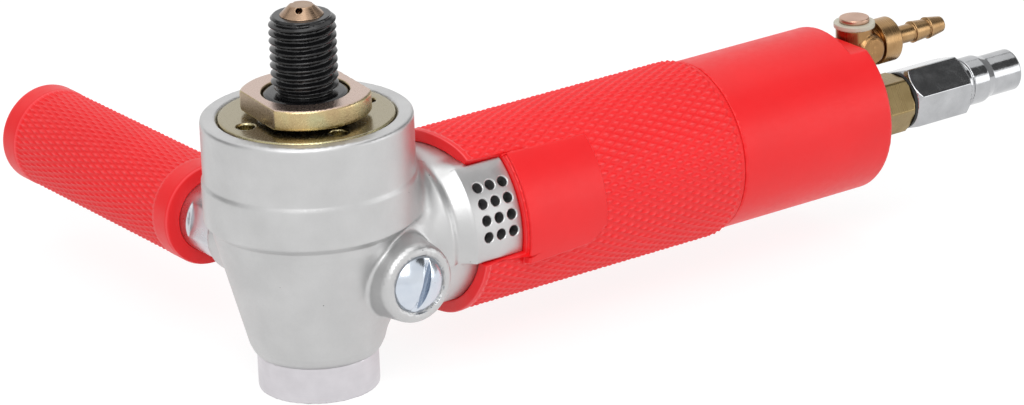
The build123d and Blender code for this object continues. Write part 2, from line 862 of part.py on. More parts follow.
# Water nozzle: a cone on the spindle's end with jets through its flank
with BuildPart() as water_nozzle:
    nozzle_z = spindle_top_z + fit_gap
    with BuildSketch(Plane.XZ):
        Polygon(
            (nozzle_bore_r, nozzle_z - nozzle_shank + moving_gap),
            (nozzle_shank_r, nozzle_z - nozzle_shank + moving_gap),
            (nozzle_shank_r, nozzle_z),
            (nozzle_base_r, nozzle_z),
            (nozzle_top_r, nozzle_z + nozzle_height),
            (0, nozzle_z + nozzle_height),
            (0, nozzle_z + nozzle_height - nozzle_roof),
            (nozzle_bore_r, nozzle_z + nozzle_height - nozzle_roof),
            align=None,
        )
    revolve(axis=Axis.Z)
    for jet in range(jet_count):
        heading = radians(jet_angle + 360.0 / jet_count * jet)
        level = cos(radians(jet_tilt))
        jet_way = Vector(level * cos(heading), level * sin(heading), sin(radians(jet_tilt)))
        with BuildSketch(Plane((0, 0, nozzle_z - nozzle_roof), z_dir=jet_way)):
            Circle(jet_r)
        extrude(amount=2 * nozzle_base_r, mode=Mode.SUBTRACT)
water_nozzle.part.label = "water_nozzle"
export_step(water_nozzle.part, "parts/water_nozzle.step")

# Ring gear above the handle axis: a turned blank with a keyway and straight bevel teeth
pitch_point = Vector(gear_pitch_r, 0, handle_z + pinion_pitch_r)
with BuildPart() as gear_tooth:
    gear_back_r = cone_length * lean_x / lean_z
    gear_outline = tooth_points(gear_back_r, tooth_width - shift_width, gear_tip, gear_root)
    with BuildSketch(Plane(pitch_point, x_dir=(0, 1, 0), z_dir=(lean_x, 0, lean_z))):
        Polygon(*[(across, -outward) for across, outward in gear_outline], align=None)
    toe_point = Vector(0, 0, handle_z) + (pitch_point - Vector(0, 0, handle_z)) * toe_share
    with BuildSketch(Plane(toe_point, x_dir=(0, 1, 0), z_dir=(lean_x, 0, lean_z))):
        gear_toe_outline = [(across * toe_share, -outward * toe_share) for across, outward in gear_outline]
        Polygon(*gear_toe_outline, align=None)
    loft(ruled=True)
with BuildPart() as ring_gear:
    root_r = gear_pitch_r - gear_root * lean_z
    root_z = pinion_pitch_r + gear_root * lean_x
    with BuildSketch(Plane.XZ):
        Polygon(
            (gear_bore_r + fit_gap, gear_hub_foot_z),
            (gear_hub_foot_r, gear_hub_foot_z),
            (root_r * toe_share, handle_z + root_z * toe_share),
            (root_r, handle_z + root_z),
            (root_r, handle_z + root_z + gear_back),
            (gear_hub_r, handle_z + root_z + gear_back),
            (gear_hub_r, upper_bottom_z),
            (gear_bore_r + fit_gap, upper_bottom_z),
            align=None,
        )
    revolve(axis=Axis.Z)
    with PolarLocations(0, gear_teeth):
        add(gear_tooth.part)
    with BuildSketch(Plane.XY.offset(upper_bottom_z)):
        Polygon(*box_points(-gear_bore_r - key_rise, 0, -key_width / 2, key_width / 2), align=None)
    extrude(amount=-key_length, mode=Mode.SUBTRACT)
ring_gear.part.label = "ring_gear"
export_step(ring_gear.part, "parts/ring_gear.step")

# Key between spindle and ring gear
with BuildPart() as gear_key:
    with BuildSketch(Plane.XY.offset(upper_bottom_z - fit_gap)):
        Polygon(
            *box_points(
                fit_gap - gear_bore_r - key_rise,
                key_depth - gear_bore_r - fit_gap,
                fit_gap - key_width / 2,
                key_width / 2 - fit_gap,
            ),
            align=None,
        )
    extrude(amount=2 * fit_gap - key_length)
gear_key.part.label = "gear_key"
export_step(gear_key.part, "parts/gear_key.step")

# Snap ring under the ring gear
with BuildPart() as gear_clip:
    with BuildSketch(Plane.XY.offset(gear_hub_foot_z - fit_gap)):
        Circle(gear_clip_r)
        Circle(gear_bore_r - gear_clip_groove + fit_gap, mode=Mode.SUBTRACT)
        Polygon(*fan_points(2 * gear_clip_r, 0, gear_clip_gap_angle), align=None, mode=Mode.SUBTRACT)
    extrude(amount=2 * fit_gap - gear_clip_width)
gear_clip.part.label = "gear_clip"
export_step(gear_clip.part, "parts/gear_clip.step")

# Bottom cap: closes the head, feeds water from its outer groove to the spindle's tail
with BuildPart() as bottom_cap:
    cap_spigot_r = lower_outer_r - fit_gap
    cap_chamber_z = cone_bottom_z - cap_chamber_depth
    with BuildSketch(Plane.XZ):
        Polygon(
            (0, cap_bottom_z),
            (cap_r - cap_edge, cap_bottom_z),
            (cap_r, cap_bottom_z + cap_edge),
            (cap_r, cone_bottom_z - cap_chamfer_height),
            (cone_bottom_r, cone_bottom_z),
            (cap_spigot_r, cone_bottom_z),
            (cap_spigot_r, cap_groove_z - cap_groove_width / 2),
            (cap_spigot_r - cap_groove_depth, cap_groove_z - cap_groove_width / 2),
            (cap_spigot_r - cap_groove_depth, cap_groove_z + cap_groove_width / 2),
            (cap_spigot_r, cap_groove_z + cap_groove_width / 2),
            (cap_spigot_r, lower_bottom_z),
            (water_seal_r + fit_gap, lower_bottom_z),
            (water_seal_r + fit_gap, lower_bottom_z - cap_seal_depth),
            (cap_chamber_r, lower_bottom_z - cap_seal_depth),
            (cap_chamber_r, cap_chamber_z),
            (0, cap_chamber_z),
            align=None,
        )
    revolve(axis=Axis.Z)
    jet_down = Vector(-cos(radians(cap_jet_tilt)), 0, -sin(radians(cap_jet_tilt)))
    cap_jet_length = (cap_spigot_r - cap_chamber_r + cap_jet_r) / cos(radians(cap_jet_tilt))
    with BuildSketch(Plane((cap_spigot_r, 0, cap_groove_z), x_dir=(0, 1, 0), z_dir=jet_down)):
        Circle(cap_jet_r)
    extrude(amount=cap_jet_length, mode=Mode.SUBTRACT)
bottom_cap.part.label = "bottom_cap"
export_step(bottom_cap.part, "parts/bottom_cap.step")

# Rotary water seal round the spindle's tail
with BuildPart() as water_seal:
    water_seal_z = lower_bottom_z - cap_seal_depth
    with BuildSketch(Plane.XZ):
        Polygon(
            *box_points(tail_r + running_gap, water_seal_r, water_seal_z, water_seal_z + water_seal_width),
            align=None,
        )
    revolve(axis=Axis.Z)
water_seal.part.label = "water_seal"
export_step(water_seal.part, "parts/water_seal.step")

# Bevel pinion on the rotor's front end: a gap between two teeth faces +Z
with BuildPart() as pinion_tooth:
    pinion_back_r = cone_length * lean_z / lean_x
    pinion_outline = tooth_points(pinion_back_r, tooth_width + shift_width, pinion_tip, pinion_root)
    with BuildSketch(Plane(pitch_point, x_dir=(0, 1, 0), z_dir=(lean_x, 0, lean_z))):
        Polygon(*pinion_outline, align=None)
    with BuildSketch(Plane(toe_point, x_dir=(0, 1, 0), z_dir=(lean_x, 0, lean_z))):
        pinion_toe_outline = [(across * toe_share, outward * toe_share) for across, outward in pinion_outline]
        Polygon(*pinion_toe_outline, align=None)
    loft(ruled=True)
with BuildPart() as bevel_pinion:
    pinion_root_x = gear_pitch_r + pinion_root * lean_z
    pinion_root_r = pinion_pitch_r - pinion_root * lean_x
    with BuildSketch(lengthways):
        Polygon(
            (pinion_root_x * toe_share, pinion_bore_r + fit_gap),
            (pinion_root_x * toe_share, pinion_root_r * toe_share),
            (pinion_root_x, pinion_root_r),
            (front_bearing_x, pinion_hub_r),
            (front_bearing_x, pinion_bore_r + fit_gap),
            align=None,
        )
    revolve(axis=handle_axis)
    for tooth in range(pinion_teeth):
        add(pinion_tooth.part.rotate(handle_axis, 360.0 / pinion_teeth * (tooth + 0.5)))
bevel_pinion.part.label = "bevel_pinion"
export_step(bevel_pinion.part, "parts/bevel_pinion.step")

# Rotor: slotted drum on its shaft, turned down for the pinion and grooved for a clip
rotor_start_x = cylinder_x + plate_gap
rotor_stop_x = cylinder_end_x - plate_gap
rotor_end_x = body_x + rotor_tail
with BuildPart() as rotor:
    with BuildSketch(lengthways):
        Polygon(
            (pinion_root_x * toe_share - rotor_tip, 0),
            (pinion_root_x * toe_share - rotor_tip, pinion_bore_r),
            (front_bearing_x, pinion_bore_r),
            (front_bearing_x, rotor_shaft_r),
            (rotor_start_x, rotor_shaft_r),
            (rotor_start_x, rotor_r),
            (rotor_stop_x, rotor_r),
            (rotor_stop_x, rotor_shaft_r),
            (body_x, rotor_shaft_r),
            (body_x, rotor_shaft_r - rotor_clip_groove),
            (body_x + rotor_clip_width, rotor_shaft_r - rotor_clip_groove),
            (body_x + rotor_clip_width, rotor_shaft_r),
            (rotor_end_x, rotor_shaft_r),
            (rotor_end_x, 0),
            align=None,
        )
    revolve(axis=handle_axis)
    with BuildSketch(square_to_x(rotor_start_x, handle_z)):
        with PolarLocations(rotor_r, vane_count, start_angle=90.0):
            Rectangle(2 * vane_slot_depth, vane_slot)
    extrude(amount=rotor_stop_x - rotor_start_x, mode=Mode.SUBTRACT)
rotor.part.label = "rotor"
export_step(rotor.part, "parts/rotor.step")

# Vanes, drawn in flush with the rotor
with BuildPart() as rotor_vanes:
    vane_length = vane_slot_depth - vane_inset - fit_gap
    with BuildSketch(square_to_x(rotor_start_x, handle_z)):
        with PolarLocations(rotor_r - vane_inset - vane_length / 2, vane_count, start_angle=90.0):
            Rectangle(vane_length, vane_slot - 2 * fit_gap)
    extrude(amount=rotor_stop_x - rotor_start_x)
rotor_vanes.part.label = "rotor_vanes"
export_step(rotor_vanes.part, "parts/rotor_vanes.step")

# Clip behind the rear motor bearing
with BuildPart() as rotor_clip:
    with BuildSketch(square_to_x(body_x + fit_gap, handle_z)):
        Circle(rotor_clip_r)
        Circle(rotor_shaft_r - rotor_clip_groove + fit_gap, mode=Mode.SUBTRACT)
        Polygon(*fan_points(2 * rotor_clip_r, 0, rotor_clip_gap_angle), align=None, mode=Mode.SUBTRACT)
    extrude(amount=rotor_clip_width - 2 * fit_gap)
rotor_clip.part.label = "rotor_clip"
export_step(rotor_clip.part, "parts/rotor_clip.step")

# Motor bearings at both ends of the rotor
motor_pitch_r = (rotor_shaft_r + motor_bearing_r) / 2
for place, bearing_x in (("front", front_bearing_x), ("rear", rear_bearing_x)):
    ball_x = bearing_x + motor_bearing_width / 2
    with BuildPart() as motor_bearing_outer:
        with BuildSketch(lengthways):
            Polygon(
                *box_points(
                    bearing_x,
                    bearing_x + motor_bearing_width,
                    motor_bearing_r - motor_race_wall,
                    motor_bearing_r,
                ),
                align=None,
            )
            with Locations((ball_x, motor_pitch_r)):
                Circle(motor_ball_r + running_gap, mode=Mode.SUBTRACT)
        revolve(axis=handle_axis)
    motor_bearing_outer.part.label = f"{place}_motor_bearing_outer"
    export_step(motor_bearing_outer.part, f"parts/{place}_motor_bearing_outer.step")

    with BuildPart() as motor_bearing_inner:
        with BuildSketch(lengthways):
            Polygon(
                *box_points(
                    bearing_x,
                    bearing_x + motor_bearing_width,
                    rotor_shaft_r + fit_gap,
                    rotor_shaft_r + motor_race_wall,
                ),
                align=None,
            )
            with Locations((ball_x, motor_pitch_r)):
                Circle(motor_ball_r + running_gap, mode=Mode.SUBTRACT)
        revolve(axis=handle_axis)
    motor_bearing_inner.part.label = f"{place}_motor_bearing_inner"
    export_step(motor_bearing_inner.part, f"parts/{place}_motor_bearing_inner.step")

    with BuildPart() as motor_bearing_balls:
        with Locations(square_to_x(ball_x, handle_z)):
            with PolarLocations(motor_pitch_r, motor_ball_count):
                Sphere(motor_ball_r)
    motor_bearing_balls.part.label = f"{place}_motor_bearing_balls"
    export_step(motor_bearing_balls.part, f"parts/{place}_motor_bearing_balls.step")

# Motor cylinder with its raised bore, exhaust port, water tube hole and dowel hole
plate_r = barrel_bore_r - fit_gap
dowel_y = dowel_offset * cos(radians(dowel_angle))
dowel_z = dowel_offset * sin(radians(dowel_angle))
with BuildPart() as motor_cylinder:
    with BuildSketch(square_to_x(cylinder_x, handle_z)):
        Circle(plate_r)
        with Locations((0, cylinder_lift)):
            Circle(cylinder_bore_r, mode=Mode.SUBTRACT)
        with Locations((0, -tube_offset)):
            Circle(tube_r + fit_gap, mode=Mode.SUBTRACT)
        with Locations((dowel_y, dowel_z)):
            Circle(dowel_r + fit_gap, mode=Mode.SUBTRACT)
    extrude(amount=cylinder_length)
    exhaust_port_length = felt_end_x - cylinder_x - felt_margin
    exhaust_port_x = cylinder_x + exhaust_port_length / 2 + felt_margin
    with BuildSketch(outward_plane(exhaust_port_x, from_side(exhaust_port_angle), 0)):
        Rectangle(exhaust_port_length, exhaust_port_height)
    extrude(amount=2 * barrel_bore_r, mode=Mode.SUBTRACT)
motor_cylinder.part.label = "motor_cylinder"
export_step(motor_cylinder.part, "parts/motor_cylinder.step")

# Front end plate
with BuildPart() as front_end_plate:
    with BuildSketch(square_to_x(front_plate_x, handle_z)):
        Circle(plate_r)
        Circle(rotor_shaft_r + moving_gap, mode=Mode.SUBTRACT)
        with Locations((0, -tube_offset)):
            Circle(tube_r + fit_gap, mode=Mode.SUBTRACT)
    extrude(amount=front_plate)
    with BuildSketch(square_to_x(cylinder_x, handle_z)):
        with Locations((dowel_y, dowel_z)):
            Circle(dowel_r + fit_gap)
    extrude(amount=-dowel_depth - fit_gap, mode=Mode.SUBTRACT)
front_end_plate.part.label = "front_end_plate"
export_step(front_end_plate.part, "parts/front_end_plate.step")

# Rear end plate with the rear bearing's pocket and the air feed port
feed_y = feed_port_offset * cos(radians(feed_port_angle))
feed_z = feed_port_offset * sin(radians(feed_port_angle))
with BuildPart() as rear_end_plate:
    with BuildSketch(square_to_x(cylinder_end_x, handle_z)):
        Circle(plate_r)
        Circle(rotor_shaft_r + moving_gap, mode=Mode.SUBTRACT)
        with Locations((0, -tube_offset)):
            Circle(tube_r + fit_gap, mode=Mode.SUBTRACT)
        with Locations((feed_y, feed_z)):
            Circle(feed_port_r, mode=Mode.SUBTRACT)
    extrude(amount=rear_plate)
    with BuildSketch(square_to_x(body_x, handle_z)):
        Circle(motor_bearing_r + fit_gap)
    extrude(amount=-motor_bearing_width, mode=Mode.SUBTRACT)
    with BuildSketch(square_to_x(cylinder_end_x, handle_z)):
        with Locations((dowel_y, dowel_z)):
            Circle(dowel_r + fit_gap)
    extrude(amount=dowel_depth + fit_gap, mode=Mode.SUBTRACT)
rear_end_plate.part.label = "rear_end_plate"
export_step(rear_end_plate.part, "parts/rear_end_plate.step")

# Dowel through the cylinder into both end plates
with BuildPart() as motor_dowel:
    with BuildSketch(square_to_x(cylinder_x - dowel_depth, handle_z)):
        with Locations((dowel_y, dowel_z)):
            Circle(dowel_r)
    extrude(amount=cylinder_length + 2 * dowel_depth)
motor_dowel.part.label = "motor_dowel"
export_step(motor_dowel.part, "parts/motor_dowel.step")

# Silencer felt behind the exhaust holes
with BuildPart() as exhaust_felt:
    with BuildSketch(lengthwise(handle_z, from_side(felt_high))):
        Polygon(
            *box_points(
                felt_x + fit_gap,
                felt_end_x - fit_gap,
                barrel_bore_r + fit_gap,
                barrel_bore_r + felt_thickness - fit_gap,
            ),
            align=None,
        )
    revolve(axis=handle_axis, revolution_arc=felt_high - felt_low)
exhaust_felt.part.label = "exhaust_felt"
export_step(exhaust_felt.part, "parts/exhaust_felt.step")

# Inlet body: spigot in the barrel, flange, throttle seat, air ways and water ways
water_ring_x = body_x + water_ring_inset
oring_places = (body_x + oring_inset, barrel_end_x - oring_inset)
oring_groove_r = barrel_bore_r - oring_section - fit_gap
feed_end_x = body_x + body_recess + feed_bore_length
front_port_x = feed_end_x - port_inset
air_bore_x = body_end_x - air_bore_length
rear_port_x = air_bore_x + port_inset
stop_x = sleeve_x + stop_pin_x
with BuildPart() as inlet_body:
    with BuildSketch(lengthways):
        Polygon(
            (body_x, 0),
            (body_x, plate_r),
            (water_ring_x, plate_r),
            (water_ring_x, plate_r - water_ring_depth),
            (water_ring_x + water_ring, plate_r - water_ring_depth),
            (water_ring_x + water_ring, plate_r),
            (barrel_end_x, plate_r),
            (barrel_end_x, body_flange_r),
            (body_flange_end_x, body_flange_r),
            (body_flange_end_x, body_r),
            (body_end_x, body_r),
            (body_end_x, 0),
            align=None,
        )
    revolve(axis=handle_axis)
    for oring_x in oring_places:
        with BuildSketch(lengthways):
            Polygon(
                *box_points(
                    oring_x - oring_section / 2,
                    oring_x + oring_section / 2,
                    oring_groove_r,
                    plate_r + cut_over,
                ),
                align=None,
            )
        revolve(axis=handle_axis, mode=Mode.SUBTRACT)
    # Recess round the rotor's end with a slot to the feed port, and the feed bore
    with BuildSketch(square_to_x(body_x, handle_z)):
        Circle(body_recess_r)
        with Locations(Location((0, 0), feed_port_angle)):
            Polygon(*box_points(0, feed_port_offset + feed_port_r, -feed_port_r, feed_port_r), align=None)
    extrude(amount=body_recess, mode=Mode.SUBTRACT)
    with BuildSketch(square_to_x(body_x, handle_z)):
        Circle(feed_bore_r)
    extrude(amount=body_recess + feed_bore_length, mode=Mode.SUBTRACT)
    # Air way from the bushing, and the two ports that the sleeve joins
    with BuildSketch(square_to_x(body_end_x, inlet_z)):
        Circle(bush_shank_r + fit_gap)
    extrude(amount=-shank_length, mode=Mode.SUBTRACT)
    with BuildSketch(square_to_x(body_end_x, inlet_z)):
        Circle(air_bore_r)
    extrude(amount=-air_bore_length, mode=Mode.SUBTRACT)
    with BuildSketch(Plane.XY.offset(handle_z)):
        with Locations((front_port_x, 0)):
            Circle(port_r)
    extrude(amount=-body_r - cut_over, mode=Mode.SUBTRACT)
    with BuildSketch(Plane.XY.offset(inlet_z)):
        with Locations((rear_port_x, 0)):
            Circle(port_r)
    extrude(amount=-body_r - cut_over, mode=Mode.SUBTRACT)
    # Water way: valve spigot socket, bore to the ring, and the tube's socket
    with BuildSketch(square_to_x(body_end_x, outlet_z)):
        Circle(outlet_r + fit_gap)
    extrude(amount=-outlet_reach, mode=Mode.SUBTRACT)
    ring_middle_x = water_ring_x + water_ring / 2
    with BuildSketch(square_to_x(body_end_x, outlet_z)):
        Circle(outlet_bore_r)
    extrude(amount=ring_middle_x - body_end_x, mode=Mode.SUBTRACT)
    with BuildSketch(Plane.XY.offset(outlet_z)):
        with Locations((ring_middle_x, 0)):
            Circle(riser_r)
    extrude(amount=plate_r, mode=Mode.SUBTRACT)
    with BuildSketch(square_to_x(body_x, tube_z)):
        Circle(tube_r + fit_gap)
    extrude(amount=water_ring_inset + water_ring / 2, mode=Mode.SUBTRACT)
    with BuildSketch(outward_plane(stop_x, 0.0, body_r - stop_pin_sink)):
        Circle(stop_pin_r + fit_gap)
    extrude(amount=stop_pin_sink + cut_over, mode=Mode.SUBTRACT)
inlet_body.part.label = "inlet_body"
export_step(inlet_body.part, "parts/inlet_body.step")

# O-rings on both sides of the water ring
with BuildPart() as inlet_orings:
    for oring_x in oring_places:
        with BuildSketch(lengthways):
            with Locations((oring_x, barrel_bore_r - fit_gap - oring_section / 2)):
                Circle(oring_section / 2 - fit_gap)
        revolve(axis=handle_axis)
inlet_orings.part.label = "inlet_orings"
export_step(inlet_orings.part, "parts/inlet_orings.step")

# Stop pin of the throttle, fixed in the inlet body on the +Y side
with BuildPart() as throttle_stop_pin:
    with BuildSketch(outward_plane(stop_x, 0.0, body_r - stop_pin_sink + fit_gap)):
        Circle(stop_pin_r)
    extrude(amount=stop_pin_sink + stop_pin_reach)
throttle_stop_pin.part.label = "throttle_stop_pin"
export_step(throttle_stop_pin.part, "parts/throttle_stop_pin.step")

# Water tube along the motor, from the inlet body to the head's gallery
with BuildPart() as water_tube:
    with BuildSketch(square_to_x(front_plate_x + fit_gap, tube_z)):
        Circle(tube_r)
        Circle(tube_r - tube_wall, mode=Mode.SUBTRACT)
    extrude(amount=water_ring_x - front_plate_x - fit_gap)
water_tube.part.label = "water_tube"
export_step(water_tube.part, "parts/water_tube.step")

# Grip sleeve: round tube with a slot for the exhaust pad and a deflector behind it
slot_end_x = pad_end_x + grip_slot_room
slot_gap_angle = degrees(grip_slot_gap / barrel_r)
with BuildPart() as grip_sleeve:
    with BuildSketch(lengthways):
        Polygon(
            (grip_start_x, barrel_r + running_gap),
            (grip_start_x, grip_r),
            (grip_end_x - grip_taper, grip_r),
            (grip_end_x, grip_r - grip_taper_drop),
            (grip_end_x, body_flange_r + running_gap),
            (barrel_end_x, body_flange_r + running_gap),
            (barrel_end_x, barrel_r + running_gap),
            align=None,
        )
    revolve(axis=handle_axis)
    with BuildSketch(lengthwise(handle_z, from_side(deflector_high))):
        Polygon(
            (slot_end_x, barrel_r + running_gap),
            (slot_end_x, barrel_r + pad_rise + deflector_foot),
            (slot_end_x + deflector_wall, grip_r + deflector_rise),
            (slot_end_x + deflector_length, grip_r),
            (slot_end_x + deflector_length, barrel_r + running_gap),
            align=None,
        )
    revolve(axis=handle_axis, revolution_arc=deflector_high - deflector_low)
    with BuildSketch(lengthwise(handle_z, from_side(pad_high + slot_gap_angle))):
        Polygon(*box_points(grip_start_x, slot_end_x, barrel_r - cut_over, grip_r + cut_over), align=None)
    revolve(axis=handle_axis, revolution_arc=pad_high - pad_low + 2 * slot_gap_angle, mode=Mode.SUBTRACT)
grip_sleeve.part.label = "grip_sleeve"
export_step(grip_sleeve.part, "parts/grip_sleeve.step")

# Throttle sleeve: turns on the inlet body, and its pocket joins the two ports when it is turned
sleeve_bore_r = body_r + running_gap
with BuildPart() as throttle_sleeve:
    with BuildSketch(lengthways):
        Polygon(*box_points(sleeve_x, sleeve_end_x, sleeve_bore_r, sleeve_r), align=None)
    revolve(axis=handle_axis)
    outer_edges = throttle_sleeve.edges().filter_by(GeomType.CIRCLE).group_by(Axis.X)[-1]
    fillet(outer_edges.sort_by(SortBy.RADIUS)[-1], radius=sleeve_round)
    with BuildSketch(Plane.XY.offset(handle_z + sleeve_flat)):
        Polygon(
            *box_points(sleeve_end_x - sleeve_flat_length, sleeve_end_x + cut_over, -sleeve_r, sleeve_r),
            align=None,
        )
    extrude(amount=sleeve_r, mode=Mode.SUBTRACT)
    with BuildSketch(lengthwise(handle_z, -90.0 - throttle_turn - pocket_half_angle)):
        Polygon(
            *box_points(
                front_port_x - port_r - pocket_margin,
                rear_port_x + port_r + pocket_margin,
                sleeve_bore_r - cut_over,
                sleeve_bore_r + pocket_depth,
            ),
            align=None,
        )
    revolve(axis=handle_axis, revolution_arc=2 * pocket_half_angle, mode=Mode.SUBTRACT)
    pin_half_angle = degrees(asin((stop_pin_r + stop_groove_room) / sleeve_bore_r))
    with BuildSketch(lengthwise(handle_z, -throttle_turn - pin_half_angle)):
        Polygon(
            *box_points(
                stop_x - stop_pin_r - stop_groove_room,
                stop_x + stop_pin_r + stop_groove_room,
                sleeve_bore_r - cut_over,
                body_r + stop_pin_reach + stop_groove_room,
            ),
            align=None,
        )
    revolve(axis=handle_axis, revolution_arc=throttle_turn + 2 * pin_half_angle, mode=Mode.SUBTRACT)
throttle_sleeve.part.label = "throttle_sleeve"
export_step(throttle_sleeve.part, "parts/throttle_sleeve.step")

# Stud of the side handle: thread in the boss, round bar with two spanner flats, core in the grip
flats_end_y = stud_boss_y + stud_flats_length
collar_end_y = flats_end_y + stud_collar
core_end_y = collar_end_y + stud_core
with BuildPart() as side_handle_stud:
    with BuildSketch(side_lengthways):
        Polygon(
            (stud_boss_y - stud_thread + moving_gap, 0),
            (stud_boss_y - stud_thread + moving_gap, stud_thread_r),
            (stud_boss_y + fit_gap, stud_thread_r),
            (stud_boss_y + fit_gap, stud_r - stud_edge),
            (stud_boss_y + fit_gap + stud_edge, stud_r),
            (collar_end_y, stud_r),
            (collar_end_y, stud_core_r),
            (core_end_y, stud_core_r),
            (core_end_y, 0),
            align=None,
        )
    revolve(axis=side_axis)
    with BuildSketch(square_to_y(0, stud_boss_y, side_z)):
        with Locations(Location((0, 0), stud_flats_angle)):
            Rectangle(oversize * stud_r, oversize * stud_r)
            Rectangle(stud_flats, oversize * stud_r + cut_over, mode=Mode.SUBTRACT)
    extrude(amount=stud_flats_length, mode=Mode.SUBTRACT)
side_handle_stud.part.label = "side_handle_stud"
export_step(side_handle_stud.part, "parts/side_handle_stud.step")

# Grip of the side handle, closed at its far end
side_grip_y = collar_end_y - side_grip_reach
side_grip_end_y = side_grip_y + side_grip_length
with BuildPart() as side_handle_grip:
    with BuildSketch(side_lengthways):
        Polygon(
            (side_grip_y, stud_r + fit_gap),
            (side_grip_y, side_grip_r),
            (side_grip_end_y, side_grip_r),
            (side_grip_end_y, 0),
            (core_end_y + fit_gap, 0),
            (core_end_y + fit_gap, stud_core_r + fit_gap),
            (collar_end_y + fit_gap, stud_core_r + fit_gap),
            (collar_end_y + fit_gap, stud_r + fit_gap),
            align=None,
        )
    revolve(axis=side_axis)
    end_edges = side_handle_grip.edges().filter_by(GeomType.CIRCLE).group_by(Axis.Y)[-1]
    fillet(end_edges, radius=side_grip_edge)
side_handle_grip.part.label = "side_handle_grip"
export_step(side_handle_grip.part, "parts/side_handle_grip.step")

# Plug: round head with a slot, screwed into the spare boss
plug_head_r = plug_recess_r - plug_dome_gap
plug_seat_y = plug_boss_y + plug_recess - fit_gap
dome_r = (plug_head_r**2 + plug_dome**2) / (2 * plug_dome)
plug_axis = Axis((plug_x, 0, side_z), (0, 1, 0))
with BuildPart() as side_plug:
    with BuildSketch(Plane((plug_x, 0, side_z), x_dir=(0, 1, 0), z_dir=(1, 0, 0))):
        with BuildLine():
            dome_middle = asin(plug_head_r / dome_r) / 2
            crown_y = plug_seat_y - plug_dome
            waypoint = (crown_y + dome_r * (1 - cos(dome_middle)), dome_r * sin(dome_middle))
            ThreePointArc((crown_y, 0), waypoint, (plug_seat_y, plug_head_r))
            Polyline(
                (plug_seat_y, plug_head_r),
                (plug_seat_y, plug_thread_r),
                (plug_seat_y + plug_thread - moving_gap, plug_thread_r),
                (plug_seat_y + plug_thread - moving_gap, 0),
                (crown_y, 0),
            )
        make_face()
    revolve(axis=plug_axis)
    with BuildSketch(square_to_y(plug_x, crown_y, side_z)):
        Rectangle(plug_slot, oversize * plug_head_r, rotation=plug_slot_angle)
    extrude(amount=plug_slot_depth, mode=Mode.SUBTRACT)
side_plug.part.label = "side_plug"
export_step(side_plug.part, "parts/side_plug.step")

# Inlet bushing: shank in the inlet body, neck, hexagon and a threaded tip in the quick plug
hex_turn = 180.0 / hex_sides
bush_hex_r = bush_hex_flats / 2 / cos(radians(hex_turn))
with BuildPart() as inlet_bushing:
    with BuildSketch(inlet_lengthways):
        Polygon(
            (body_end_x - bush_shank, bush_bore_r),
            (body_end_x - bush_shank, bush_shank_r),
            (body_end_x + fit_gap, bush_shank_r),
            (body_end_x + fit_gap, bush_neck_r),
            (bush_hex_x, bush_neck_r),
            (bush_hex_x, bush_hex_r - hex_chamfer),
            (bush_hex_x + hex_chamfer, bush_hex_r),
            (gasket_x - hex_chamfer, bush_hex_r),
            (gasket_x, bush_hex_r - hex_chamfer),
            (gasket_x, bush_tip_r),
            (gasket_x + bush_tip, bush_tip_r),
            (gasket_x + bush_tip, bush_bore_r),
            align=None,
        )
    revolve(axis=inlet_axis)
    with BuildSketch(square_to_x(body_end_x - bush_shank, inlet_z)):
        RegularPolygon(bush_hex_r, hex_sides)
    extrude(amount=bush_shank + bush_neck + bush_hex + bush_tip, mode=Mode.INTERSECT)
inlet_bushing.part.label = "inlet_bushing"
export_step(inlet_bushing.part, "parts/inlet_bushing.step")

# Gasket between bushing and quick plug
with BuildPart() as inlet_gasket:
    with BuildSketch(square_to_x(gasket_x + fit_gap, inlet_z)):
        Circle(gasket_r)
        Circle(bush_tip_r + fit_gap, mode=Mode.SUBTRACT)
    extrude(amount=gasket - 2 * fit_gap)
inlet_gasket.part.label = "inlet_gasket"
export_step(inlet_gasket.part, "parts/inlet_gasket.step")

# Quick plug: hexagon, neck, band and tip of an air coupling
quick_hex_r = quick_hex_flats / 2 / cos(radians(hex_turn))
with BuildPart() as air_plug:
    with BuildSketch(inlet_lengthways):
        Polygon(
            (quick_x, bush_tip_r + fit_gap),
            (quick_x, quick_hex_r - hex_chamfer),
            (quick_x + hex_chamfer, quick_hex_r),
            (quick_neck_x - hex_chamfer, quick_hex_r),
            (quick_neck_x, quick_hex_r - hex_chamfer),
            (quick_neck_x, quick_neck_r),
            (quick_band_x, quick_neck_r),
            (quick_band_x, quick_band_r),
            (quick_taper_x, quick_band_r),
            (quick_tip_x, quick_tip_r),
            (quick_end_x - quick_edge, quick_tip_r),
            (quick_end_x, quick_tip_r - quick_edge),
            (quick_end_x, quick_bore_r),
            (gasket_x + bush_tip + moving_gap, quick_bore_r),
            (gasket_x + bush_tip + moving_gap, bush_tip_r + fit_gap),
            align=None,
        )
    revolve(axis=inlet_axis)
    with BuildSketch(square_to_x(quick_x, inlet_z)):
        RegularPolygon(quick_hex_r, hex_sides, rotation=hex_turn + quick_hex_turn)
    extrude(amount=quick_end_x - quick_x, mode=Mode.INTERSECT)
air_plug.part.label = "air_plug"
export_step(air_plug.part, "parts/air_plug.step")

